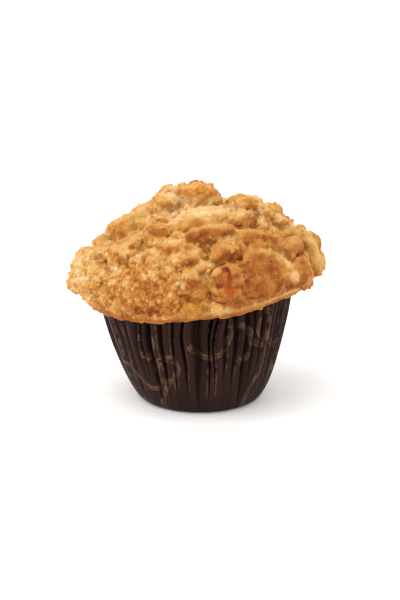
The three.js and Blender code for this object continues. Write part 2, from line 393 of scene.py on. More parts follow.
@dataclass(frozen=True)
class MuffinForm:
    """Sizes of the upright muffin in millimetres, and how the whole of it leans."""

    foot_radius: float = 23.4
    rim_height: float = 41.0
    rim_radius: float = 39.0
    rim_tuck: float = 0.9
    wall_power: float = 0.6
    crown_radius: float = 46.5
    underside_height: float = 8.3
    dome_height: float = 28.5
    lean: float = -1.4
    tilt: float = 0.085
    bulge_azimuth: float = 48
    bulge_reach: float = 30
    bulge_lift: float = 1.3
    bulge_heights: tuple[float, float, float] = (20, 42, 52)

    @property
    def widest_height(self) -> float:
        """Height of the crown's widest ring."""
        return self.rim_height + self.underside_height

    def spread(self, height: np.ndarray) -> np.ndarray:
        """How far the wall has spread at a height: 0 at the foot and 1 at the rim."""
        return (np.maximum(height, 0) / self.rim_height) ** self.wall_power

    def wall_radius(self, height: np.ndarray) -> np.ndarray:
        """Radius of the case's outermost folds at a height."""
        return self.foot_radius + (self.rim_radius - self.foot_radius) * self.spread(height)

    def rise_of(self, points: np.ndarray) -> np.ndarray:
        """How far the leaning lifts upright points.

        Args:
            points: Points on the upright muffin.

        Returns:
            The lift of each point.
        """
        x, y, z = points.T
        azimuth = np.degrees(np.arctan2(x, -y))
        start, full, gone = self.bulge_heights
        near = smoothstep(self.bulge_reach, 0, np.abs(azimuth - self.bulge_azimuth))
        level = smoothstep(start, full, z) * smoothstep(gone, full, z)
        bulge = self.bulge_lift * near * level * smoothstep(0, self.rim_radius, np.hypot(x, y))
        return self.tilt * x * smoothstep(0, self.rim_height, z) + bulge

    def leaned(self, points: np.ndarray) -> np.ndarray:
        """Leans upright points as the real muffin leans.

        Args:
            points: Points on the upright muffin.

        Returns:
            The same points on the leaning muffin.
        """
        moved = points.copy()
        moved[:, 2] += self.rise_of(points)
        moved[:, 0] += self.lean * points[:, 2] / self.rim_height
        return moved

    def upright(self, points: np.ndarray) -> np.ndarray:
        """Undoes leaned, by a few rounds of correction.

        Args:
            points: Points on the leaning muffin.

        Returns:
            The same points on the upright muffin.
        """
        made = points.copy()
        for _ in range(5):
            made[:, 0] = points[:, 0] - self.lean * made[:, 2] / self.rim_height
            made[:, 2] = points[:, 2] - self.rise_of(made)
        return made

    def towards(self, azimuth: float, rise: float, share: float) -> np.ndarray:
        """A leaned point that lies a share of the way from the crown's middle to its bare surface.

        Args:
            azimuth: The azimuth in degrees.
            rise: The rise in degrees.
            share: How far out the point lies.

        Returns:
            The point.
        """
        a, e = math.radians(azimuth), math.radians(rise)
        radius = self.crown_radius * math.cos(e) * share
        reach = self.dome_height if rise >= 0 else self.underside_height
        height = self.widest_height + reach * math.sin(e) * share
        return self.leaned(np.array([[radius * math.sin(a), -radius * math.cos(a), height]]))[0]

    def azimuth_and_rise(self, points: np.ndarray) -> tuple[np.ndarray, np.ndarray]:
        """Says where leaned points lie on the crown, both in degrees.

        Args:
            points: Points on the leaning muffin.

        Returns:
            Their azimuths and their rises.
        """
        x, y, z = self.upright(points).T
        above = z - self.widest_height
        reach = np.where(above > 0, self.dome_height, self.underside_height)
        rise = np.arctan2(above / reach, np.hypot(x, y) / self.crown_radius)
        return np.degrees(np.arctan2(x, -y)), np.degrees(rise)

    def upslope(self, points: np.ndarray) -> np.ndarray:
        """The direction up the bare dome at leaned points.

        Args:
            points: Points on the leaning muffin.

        Returns:
            A direction of length 1 for each point.
        """
        azimuth, rise = (np.radians(angle) for angle in self.azimuth_and_rise(points))
        inwards, up = self.crown_radius * np.sin(rise), self.dome_height * np.cos(rise)
        return unit(np.column_stack([-inwards * np.sin(azimuth), inwards * np.cos(azimuth), up]))


FORM = MuffinForm()


class Region(Enum):
    """Parts of the crown that baked to different surfaces. Each holds its patches: centre and reach of
    the azimuth, then centre and reach of the rise, in degrees."""

    GRANULAR = ((-40, 52, 4, 38), (-150, 30, 14, 34), (165, 32, 24, 36), (104, 18, 14, 24))
    SKIN = ((31, 16, 12, 19), (52, 12, 3, 16), (38, 26, -12, 14), (133, 22, 6, 22), (-118, 16, -4, 24))
    SMOOTH = ((19, 26, 68, 14), (14, 24, 54, 7), (-50, 12, 37, 6), (80, 9, 14, 22), (60, 14, 30, 9))

    def share(self, azimuth: np.ndarray, rise: np.ndarray) -> np.ndarray:
        """How far each point belongs to the region, from 0 to 1.

        Args:
            azimuth: Azimuths in degrees.
            rise: Rises in degrees.

        Returns:
            The shares.
        """
        total = np.zeros_like(azimuth)
        for centre, reach, middle, height in self.value:
            aside = np.abs((azimuth - centre + 180) % 360 - 180) / reach
            away = np.hypot(aside, (rise - middle) / height)
            total = np.maximum(total, smoothstep(1.15, 0.7, away))
        return total


@dataclass(frozen=True)
class Survey:
    """Where points lie on the crown, in degrees, and how far each lies clear of the case and in each
    region, from 0 to 1."""

    azimuth: np.ndarray
    rise: np.ndarray
    open: np.ndarray
    granular: np.ndarray
    skin: np.ndarray
    smooth: np.ndarray

    @classmethod
    def of(cls, points: np.ndarray) -> Survey:
        """Surveys leaned points.

        Args:
            points: Points on the leaning muffin.

        Returns:
            What holds at each of them.
        """
        azimuth, rise = FORM.azimuth_and_rise(points)
        opened = smoothstep(FORM.rim_height - 0.5, FORM.rim_height + 2, FORM.upright(points)[:, 2])
        return cls(azimuth, rise, opened, *(region.share(azimuth, rise) for region in Region))


class BakeAndLight(Enum):
    """How a lump is coloured: the tone of its upper side and of its lower side, from -1 toasted to 1 pale.
    The upper side is paler and the lower browner, partly from baking and partly as painted light from above.
    """

    FLOURY = (0.75, 0.4)
    PALE = (0.5, 0.05)
    GOLD = (0.3, -0.25)
    TOASTED = (0.1, -0.6)
    BROWN = (-0.3, -0.55)


@dataclass(frozen=True)
class TonePatch:
    """A broad patch painted paler or browner, partly for uneven baking and partly as painted light, mostly
    paler high on the crown and darker lower down: centre and reach of the azimuth, centre and reach of the
    rise, in degrees, and the change of tone."""

    azimuth: float
    reach: float
    rise: float
    height: float
    change: float


TONE_PATCHES = (
    TonePatch(-30, 75, 80, 22, 0.34),
    TonePatch(-80, 16, 28, 24, 0.3),
    TonePatch(-26, 32, 7, 20, -0.4),
    TonePatch(-40, 45, -16, 20, -0.2),
    TonePatch(78, 18, 64, 14, 0.35),
    TonePatch(62, 14, 30, 16, -0.25),
    TonePatch(12, 20, 12, 24, -0.12),
    TonePatch(-17, 9, 16, 9, -0.3),
    TonePatch(70, 30, 78, 8, 0.3),
    TonePatch(22, 26, 67, 10, 0.18),
    TonePatch(73, 10, 48, 8, 0.3),
    TonePatch(16, 8, -6, 8, -0.3),
    TonePatch(-30, 12, 52, 9, 0.25),
    TonePatch(-13, 9, 24, 8, -0.2),
    TonePatch(57, 9, 12, 10, -0.4),
    TonePatch(-8, 25, 82, 6, 0.1),
    TonePatch(-32, 40, -34, 16, -0.1),
    TonePatch(42, 30, -28, 16, 0.08),
    TonePatch(-72, 22, -12, 20, 0.42),
    TonePatch(-49, 9, 20, 9, 0.3),
    TonePatch(-1, 7, 20, 8, 0.4),
)


@dataclass(frozen=True)
class Crag:
    """One lump of crumble on the crown: where it lies, its size in millimetres, its roll, and its tone
    from baking and from painted light.
    """

    azimuth: float
    rise: float
    across: float
    tall: float
    deep: float
    roll: float
    bake: BakeAndLight

    @property
    def small(self) -> bool:
        """Whether the lump is small enough to keep its edges only in the fine mesh."""
        return max(self.across, self.tall) <= 6.6


CRAGS = (
    # The top knob, with crumble against the fruit in it, and the band of crumble under it.
    Crag(-60, 78, 9, 8, 4, 10, BakeAndLight.PALE),
    Crag(-58, 70, 9, 6, 3, -12, BakeAndLight.PALE),
    Crag(-25, 79, 7, 6, 3.5, 20, BakeAndLight.PALE),
    Crag(-48, 86, 5, 4.5, 4.5, 0, BakeAndLight.GOLD),
    Crag(-40, 83, 5.5, 4, 4.5, 10, BakeAndLight.PALE),
    Crag(-35, 85, 5, 4, 4.2, 0, BakeAndLight.PALE),
    Crag(-10, 80, 5, 4, 5, 30, BakeAndLight.PALE),
    Crag(70, 79, 6, 5, 5, -20, BakeAndLight.PALE),
    # The smooth middle, with the ridge under it.
    Crag(18, 65, 22, 15, 5, 0, BakeAndLight.PALE),
    Crag(8, 58.5, 16, 6, 5, 0, BakeAndLight.PALE),
    Crag(-45, 74, 10, 7, 5, 0, BakeAndLight.PALE),
    Crag(20, 51, 12, 5.5, 5, -5, BakeAndLight.GOLD),
    Crag(4, 50, 9, 6, 5, 6, BakeAndLight.TOASTED),
    Crag(-1, 48, 5, 5, 5, 20, BakeAndLight.TOASTED),
    Crag(-14, 59, 6, 7, 4.5, 30, BakeAndLight.PALE),
    Crag(-36, 67, 6.5, 8, 6, -20, BakeAndLight.TOASTED),
    Crag(-29, 55, 11, 6, 6, -4, BakeAndLight.TOASTED),
    Crag(-46, 60, 6, 5, 5, 0, BakeAndLight.GOLD),
    Crag(-62, 64, 9, 8, 4.5, 10, BakeAndLight.GOLD),
    # The left shoulder and the steps below it.
    Crag(-74, 54, 9, 10, 5, 12, BakeAndLight.GOLD),
    Crag(-72, 47, 8, 4.5, 4.5, -20, BakeAndLight.TOASTED),
    Crag(-75, 39, 7, 6, 4, -30, BakeAndLight.TOASTED),
    Crag(-48, 37, 13, 5.5, 4, -6, BakeAndLight.PALE),
    Crag(-40, 43, 4, 6.5, 5, 15, BakeAndLight.GOLD),
    Crag(-23, 45, 10, 5, 4, 4, BakeAndLight.GOLD),
    Crag(-7, 42, 11, 6, 4.5, 2, BakeAndLight.PALE),
    Crag(-10, 50, 6, 4.5, 4, -10, BakeAndLight.PALE),
    # The middle right: chunk over the fruit, ridge and pale blocks.
    Crag(19, 36, 12, 7.5, 5.5, 8, BakeAndLight.TOASTED),
    Crag(8, 27, 8, 3.6, 3, 0, BakeAndLight.PALE),
    Crag(41, 41, 15, 6.5, 5, -14, BakeAndLight.TOASTED),
    Crag(39, 34.5, 10, 3.5, 3.5, -16, BakeAndLight.BROWN),
    Crag(51, 58, 6, 8, 5.5, 18, BakeAndLight.PALE),
    Crag(58, 46, 7, 5, 4, -10, BakeAndLight.GOLD),
    Crag(70, 50, 7, 5, 4, 0, BakeAndLight.PALE),
    Crag(72, 66, 10, 9, 5, 10, BakeAndLight.TOASTED),
    Crag(76, 73, 7, 8, 3.5, 0, BakeAndLight.GOLD),
    Crag(76, 53, 8, 6, 3, -20, BakeAndLight.TOASTED),
    Crag(79, 44, 7, 5, 3, -30, BakeAndLight.PALE),
    # The right edge: nub, pale overhang, tall slab and the bulge under them.
    Crag(75, 34, 6.5, 5, 4, 0, BakeAndLight.GOLD),
    Crag(61, 27, 12, 7.5, 5, 6, BakeAndLight.PALE),
    Crag(80, 10, 8, 15, 4, 4, BakeAndLight.PALE),
    Crag(54, 9, 12, 10, 3, 0, BakeAndLight.TOASTED),
    Crag(60, -4, 9, 6, 2.2, 0, BakeAndLight.TOASTED),
    # The filled seam between the smooth lobe and the bulge, with two pale lumps in it.
    Crag(45, 11, 4, 11, 3, 0, BakeAndLight.TOASTED),
    Crag(47.6, 7.5, 3.4, 4.6, 4.2, 8, BakeAndLight.FLOURY),
    Crag(47.4, 16.5, 3.2, 4.4, 4.2, 20, BakeAndLight.FLOURY),
    # Among the grains at the front.
    Crag(-1, 20, 6, 6, 6.6, 0, BakeAndLight.GOLD),
    Crag(-9, 20, 5, 4, 4.5, 15, BakeAndLight.PALE),
    Crag(-16, 22, 4, 3.4, 4, -20, BakeAndLight.PALE),
    Crag(-25, 38, 5.5, 3.4, 4, -25, BakeAndLight.FLOURY),
    Crag(-33, 31, 4, 3, 4, 20, BakeAndLight.FLOURY),
    Crag(2, 7, 5.5, 4.4, 4.5, 10, BakeAndLight.PALE),
    Crag(-4.5, 9, 4.5, 4, 4, -10, BakeAndLight.PALE),
    Crag(4.5, 27, 8, 5, 4, 0, BakeAndLight.PALE),
    Crag(7, 41, 7, 6, 9, 0, BakeAndLight.PALE),
    Crag(-1, 33, 6, 4, 4, 20, BakeAndLight.GOLD),
    Crag(-20, 2, 20, 9, 2.5, 0, BakeAndLight.TOASTED),
    Crag(-66, 22, 12, 7, 3, -15, BakeAndLight.GOLD),
    Crag(-60, 31, 5, 4, 4, 30, BakeAndLight.PALE),
    Crag(-70, 30, 4, 5, 4, -30, BakeAndLight.PALE),
    Crag(-52, 18, 4, 3, 3.5, 10, BakeAndLight.PALE),
    # Crumble that half covers the fruit with the red skin.
    Crag(10.6, 21, 4, 4, 4.4, 10, BakeAndLight.PALE),
    Crag(10.8, 15.5, 3.4, 4.6, 4.2, -10, BakeAndLight.BROWN),
    Crag(9.8, 9, 3.8, 4, 4.4, 20, BakeAndLight.PALE),
    Crag(17.8, 20, 4, 5, 4, 10, BakeAndLight.TOASTED),
    Crag(19.2, 14.5, 4.2, 8, 4.8, 0, BakeAndLight.TOASTED),
    Crag(17.6, 6, 3.6, 5, 4, -10, BakeAndLight.GOLD),
    Crag(12, 2, 5, 2.6, 4.2, 0, BakeAndLight.GOLD),
)


@dataclass(frozen=True)
class Cleft:
    """One deep gap between lumps: where it lies, and its size and depth in millimetres."""

    azimuth: float
    rise: float
    across: float
    tall: float
    depth: float
    roll: float


CLEFTS = (
    Cleft(-69, 58, 4, 9, 2.5, 25),
    Cleft(21, 28, 9, 3.0, 1.4, 8),
    Cleft(52, 50, 8, 3, 2.5, -8),
    Cleft(60, 20, 9, 2.6, 2.2, 0),
    Cleft(-42, 48, 10, 3, 1.8, -14),
    Cleft(32, 56, 3.5, 8, 2.0, 24),
    Cleft(-18, 52, 7, 2.6, 1.8, 8),
    Cleft(110, 45, 13, 13, 4, 0),
)


# Scattering ----------------------------------------------------------------------------------


@dataclass(frozen=True)
class Grains:
    """Nuggets that lie on a surface: their centres, their radii and a number from 0 to 1 for each."""

    centres: np.ndarray
    radii: np.ndarray
    numbers: np.ndarray

    def joined_with(self, other: Grains) -> Grains:
        """Puts two sets of nuggets together."""
        pairs = ((self.centres, other.centres), (self.radii, other.radii), (self.numbers, other.numbers))
        return Grains(*(np.concatenate(pair) for pair in pairs))

    def under(self, points: np.ndarray) -> tuple[np.ndarray, np.ndarray]:
        """Finds the nugget that each point belongs to.

        Args:
            points: Points on or near the surface.

        Returns:
            The nearest nugget's number, and how far the point is from its centre in shares of its radius.
        """
        tree = tree_of(self.centres)
        index, away = np.array([tree.find(point)[1:] for point in points]).T
        index = index.astype(int)
        return self.numbers[index], away / self.radii[index]


def tree_of(points: np.ndarray) -> KDTree:
    """Sorts points so that the nearest one is found quickly.

    Args:
        points: The points, as rows of three numbers.

    Returns:
        The tree to search.
    """
    tree = KDTree(len(points))
    for index, point in enumerate(points):
        tree.insert(point, index)
    tree.balance()
    return tree


@dataclass(frozen=True)
class Scatter:
    """Irregular nuggets of one kind, spread over the crown with the largest first and evenly.

    Attributes:
        name: Their object's name.
        count: How many there are at most.
        across: Their smallest and largest width in millimetres.
        small_bias: Above 1, small ones outnumber large ones.
        spacing: The least distance between centres, in shares of the mean of their widths.
        sunk: How deep their centres lie, in shares of their thickness.
        subdivisions: How fine they are.
        seed: The source of chance.
        chances: The chance on plain crumble, and what granular and smooth parts add to it.
        skin: How far the bare crust keeps them off.
        rises: The rise below which there are none, and the one from which they are thick.
        clear: How far they keep from the fruit in millimetres.
        thickness: Their least and greatest thickness, in shares of their width.
        rough: How uneven they are.
        tries: How many candidates there are for each of them.
        far_side: Whether they lie only on the half of the crown that has no crags.
        loose: Whether they lie in drifts, and only where the slope can hold them.
    """

    name: str
    count: int
    across: tuple[float, float]
    small_bias: float
    spacing: float
    sunk: float
    subdivisions: int
    seed: int
    chances: tuple[float, float, float]
    skin: float
    rises: tuple[float, float]
    clear: float
    thickness: tuple[float, float] = (0.5, 0.85)
    rough: float = 0.14
    tries: int = 12
    far_side: bool = False
    loose: bool = False

    def _chance(self, points: np.ndarray, facing: np.ndarray) -> np.ndarray:
        """Chance, from 0 to 1, that a nugget lies at each point.

        Args:
            points: Points on the crown.
            facing: The surface's normals there.

        Returns:
            The chance at each point.
        """
        on = Survey.of(points)
        plain, granular, smooth = self.chances
        chance = plain + granular * on.granular + smooth * on.smooth
        if self.loose:
            # Drifts are about 7 mm across.
            chance += 0.5 * sampled(points, lambda p: noise.noise(p / 7))
            chance *= (1 - 0.8 * on.smooth) * smoothstep(-0.5, 0.1, facing[:, 2])
        if self.far_side:
            chance *= smoothstep(84, 100, np.abs(on.azimuth))
        chance *= (1 - self.skin * on.skin) * smoothstep(*self.rises, on.rise)
        return chance * on.open * clear_of_fruit(points, self.clear)

    def _candidates(self, surface: Mesh, rng: np.random.Generator) -> tuple[np.ndarray, np.ndarray]:
        """Picks points where nuggets may lie, evenly by area.

        Args:
            surface: The mesh that they lie on, in millimetres.
            rng: The source of chance.

        Returns:
            The points, and the normals of the faces there.
        """
        surface.calc_loop_triangles()
        corners = np.empty(len(surface.loop_triangles) * 3, np.int32)
        surface.loop_triangles.foreach_get("vertices", corners)
        a, b, c = (points_of(surface)[corners.reshape(-1, 3)[:, i]] for i in range(3))
        cross = np.cross(b - a, c - a)
        size = np.linalg.norm(cross, axis=1)
        chosen = rng.choice(len(size), size=self.count * self.tries, p=size / size.sum())
        u, v = rng.random((2, len(chosen)))
        flip = u + v > 1
        u[flip], v[flip] = 1 - u[flip], 1 - v[flip]
        found = a[chosen] + u[:, None] * (b - a)[chosen] + v[:, None] * (c - a)[chosen]
        facing = unit(cross)[chosen]
        wanted = rng.random(len(found)) < self._chance(found, facing)
        return found[wanted], facing[wanted]

    def _thinned(self, found: np.ndarray, widths: np.ndarray) -> list[int]:
        """Keeps candidates in order while each stays clear of those kept before it.

        Args:
            found: The candidates' places.
            widths: The nuggets' widths, the largest first.

        Returns:
            The candidates' numbers, in the order of the widths.
        """
        cell = self.across[1] * self.spacing
        grid: dict[tuple[int, ...], list[int]] = {}
        kept: list[int] = []
        around = [np.array(step) - 1 for step in np.ndindex(3, 3, 3)]
        for i, point in enumerate(found):
            if len(kept) == self.count:
                break
            width = widths[len(kept)]
            home = np.floor(point / cell).astype(int)
            near = [j for step in around for j in grid.get(tuple(home + step), ())]
            apart = (np.linalg.norm(found[kept[j]] - point) / (widths[j] + width) * 2 for j in near)
            if all(distance > self.spacing for distance in apart):
                grid.setdefault(tuple(home), []).append(len(kept))
                kept.append(i)
        return kept

    def build(self, surface: Mesh) -> tuple[Object, Grains]:
        """Makes the nuggets on a surface as one mesh, and says where they lie.

        Args:
            surface: The mesh that they lie on, in millimetres.

        Returns:
            The nuggets, and their places.
        """
        rng = np.random.default_rng(self.seed)
        ball, faces = ball_template(self.subdivisions)
        found, facing = self._candidates(surface, rng)
        low, high = self.across
        widths = np.sort(low + (high - low) * rng.random(self.count) ** self.small_bias)[::-1]
        kept = self._thinned(found, widths)
        numbers = rng.random(len(kept))
        points, centres = [], []
        for i, width in zip(kept, widths):
            deep, narrow = rng.uniform(*self.thickness), rng.uniform(0.5, 1)
            shape = ball * (1 + self.rough * rng.standard_normal((len(ball), 1)).clip(-1.6, 1.6))
            shape = shape * (np.array([1, narrow, deep]) * width / 2)
            tips = rng.uniform((-0.6, -0.6, 0), (0.6, 0.6, math.tau))
            turn = Vector(facing[i]).to_track_quat("Z", "Y").to_matrix() @ Euler(tips).to_matrix()
            centres.append(found[i] - facing[i] * width * deep * self.sunk)
            points.append(shape @ np.array(turn).T + centres[-1])
        LOG.info("%s: %d of %d nuggets placed", self.name, len(kept), self.count)
        made = mesh_object(self.name, points, [faces] * len(kept))
        return made, Grains(np.array(centres), widths[: len(kept)] / 2, numbers)


# Three sizes that bake into the crown, and the crumbs that lie loose on it.
LUMPS = Scatter(
    name="lumps",
    count=60,
    across=(6, 12),
    small_bias=1.4,
    spacing=0.85,
    sunk=0.3,
    subdivisions=3,
    seed=4,
    chances=(1, 0, 0),
    skin=1,
    rises=(-10, 12),
    clear=3,
    far_side=True,
)
NUGGETS = Scatter(
    name="nuggets",
    count=480,
    across=(2.4, 4.8),
    small_bias=1.6,
    spacing=0.7,
    sunk=0.34,
    subdivisions=2,
    seed=5,
    chances=(0.6, 0.4, -0.4),
    skin=0.95,
    rises=(-40, -20),
    clear=0.8,
)
GRAINS = Scatter(
    name="grains",
    count=3200,
    across=(1.5, 3.5),
    small_bias=1.7,
    spacing=0.62,
    sunk=0.25,
    subdivisions=2,
    seed=6,
    chances=(0.4, 0.6, -0.32),
    skin=0.95,
    rises=(-48, -30),
    clear=-1.2,
)
CRUMBS = Scatter(
    name="cake_crumbs",
    count=1000,
    across=(1.4, 2.8),
    small_bias=1.5,
    spacing=0.75,
    sunk=0.2,
    subdivisions=1,
    seed=7,
    chances=(0.25, 0.75, 0),
    skin=0.97,
    rises=(-44, -26),
    clear=0.2,
    thickness=(0.45, 0.8),
    rough=0.2,
    loose=True,
)


# Finishes ------------------------------------------------------------------------------------

# A colour ramp's stops, each a position and an sRGB hex colour.
Stops = tuple[tuple[float, str], ...]


@dataclass(frozen=True)
class BakedCrumble:
    """Baked butter crumble and cake: sugar, flour and butter rubbed to crumbs and browned in the oven.

    It is matt and slightly see-through, so light that enters pale crumbs leaves warm. What stands up is
    straw to gold and thin edges toast to orange brown; upper sides are also painted paler and lower sides
    browner, as painted light from above. The gaps between crumbs are painted with a warm orange brown shade,
    for light that has bounced off warm crumb, so they never look grey.
    Fruit juice stains what it soaks yellow.
    """

    name: str = "baked_crumble"
    stain: str = "fbe8a4"
    # The colour of the painted shade in the hollows and the gaps between crumbs.
    deep: str = "b67c44"
    tones: Stops = (
        (0.0, "6e360c"),
        (0.2, "95531c"),
        (0.4, "af7031"),
        (0.58, "c2904a"),
        (0.78, "d4a96e"),
        (1.0, "dfc69e"),
    )

    def material(self) -> Material:
        """Builds the node material.

        Returns:
            The finished material.
        """
        made, tree, place, (tone, hollow, granular, juice) = new_material(
            self.name, "tone", "hollow", "granular", "juice"
        )
        # Patches about 6 mm wide, from how unevenly butter and sugar are mixed, and fine mottling.
        patches, mottle = (
            add_node(tree, "ShaderNodeTexNoise", grain(place, *size)).outputs["Fac"]
            for size in ((6, 4, 0.62), (1.1, 3, 0.7))
        )
        # Single crumbs of about 1.5 mm, some pale with flour and some toasted.
        crumbs = add_node(tree, "ShaderNodeTexVoronoi", {"Vector": place, "Scale": 1 / (1.5 * MM)})
        crumb = add_node(tree, "ShaderNodeSeparateColor", (crumbs.outputs["Color"],)).outputs[0]
        patch_shift, crumb_shift, mottled = (
            add_node(tree, "ShaderNodeMapRange", values).outputs[0]
            for values in (
                (patches, 0.3, 0.7, -0.12, 0.12),
                (crumb, 0.0, 1.0, -0.07, 0.08),
                (mottle, 0.3, 0.7, 0.82, 1.08),
            )
        )
        baked = add_node(tree, "ShaderNodeMath", (tone, patch_shift), operation="ADD").outputs[0]
        speckled = add_node(
            tree, "ShaderNodeMath", (crumb_shift, granular, baked), operation="MULTIPLY_ADD"
        )
        ramp = add_node(tree, "ShaderNodeValToRGB", (speckled.outputs[0],))
        set_stops(ramp.color_ramp, self.tones)
        colour = ramp.outputs["Color"]
        # The mottling, then juice stains, then painted shade in the hollows and gaps, each multiplied in.
        for share, tint in ((1.0, mottled), (juice, linear(self.stain)), (hollow, linear(self.deep))):
            colour = add_node(
                tree,
                "ShaderNodeMix",
                {0: share, 6: colour, 7: tint},
                data_type="RGBA",
                blend_type="MULTIPLY",
            ).outputs[2]
        # Sugar grains of about 0.7 mm.
        close_material(
            tree,
            colour,
            grain(place, 0.7, 3, 0.65),
            bump=(0.6, 0.0004),
            Roughness=0.66,
            Specular_IOR_Level=0.14,
            Subsurface_Weight=0.22,
            Subsurface_Radius=(1.0, 0.42, 0.14),
            Subsurface_Scale=0.002,
        )
        return made


@dataclass(frozen=True)
class CookedFruit:
    """Baked orchard fruit: soft wet flesh that light enters far, with a thin glossy skin on one side.

    The flesh is fibrous and pale to amber, and its skin keeps its red where it stands clear.
    """

    name: str
    flesh: Stops
    skin: Stops
    blush: str
    roughness: float = 0.36

    def material(self) -> Material:
        """Builds the node material.

        Returns:
            The finished material.
        """
        made, tree, place, (skin, along, near_skin) = new_material(self.name, "skin", "along", "near_skin")
        # Fibres and juice run in streaks about 2.6 mm apart.
        streaks = add_node(
            tree, "ShaderNodeTexNoise", grain(place, 2.6, 4, 0.62) | {"Distortion": 0.8}
        )
        ramps = []
        for share, stops in ((streaks.outputs["Fac"], self.flesh), (along, self.skin)):
            ramps.append(add_node(tree, "ShaderNodeValToRGB", (share,)))
            set_stops(ramps[-1].color_ramp, stops)
        colour, peel = (ramp.outputs["Color"] for ramp in ramps)
        # The skin's colour bleeds into the flesh beside it.
        for share, tint in ((near_skin, linear(self.blush)), (skin, peel)):
            colour = add_node(
                tree, "ShaderNodeMix", {0: share, 6: colour, 7: tint}, data_type="RGBA"
            ).outputs[2]
        close_material(
            tree,
            colour,
            grain(place, 0.9, 3, 0.6),
            bump=(0.4, 0.0004),
            Roughness=self.roughness,
            Specular_IOR_Level=0.15,
            Subsurface_Weight=0.35,
            Subsurface_Radius=(1.0, 0.6, 0.25),
            Subsurface_Scale=0.0025,
        )
        return made


@dataclass(frozen=True)
class Vine:
    """One printed vine on the flat paper: arcs that run on from each other, each a radius in
    millimetres and a sweep in degrees. A sweep below 0 bends right."""

    start: tuple[float, float]
    heading: float
    arcs: tuple[tuple[float, float], ...]
    half_width: float = 1.15

    def strokes(self) -> Iterator[dict[str, object]]:
        """Works out the strokes, one for each arc.

        Yields:
            The stroke's inputs by name. Its start and its sweep are turns.
        """
        x, y = self.start
        heading = math.radians(self.heading)
        for radius, sweep in self.arcs:
            side = math.copysign(1, sweep)
            cx, cy = x - side * radius * math.sin(heading), y + side * radius * math.cos(heading)
            begin = math.atan2(y - cy, x - cx)
            end = begin + math.radians(sweep)
            yield {
                "Centre": (cx, cy, 0.0),
                "Radius": radius,
                "Start": min(begin, end) / math.tau,
                "Sweep": abs(sweep) / 360,
                "Half Width": self.half_width,
            }
            x, y = cx + radius * math.cos(end), cy + radius * math.sin(end)
            heading += math.radians(sweep)


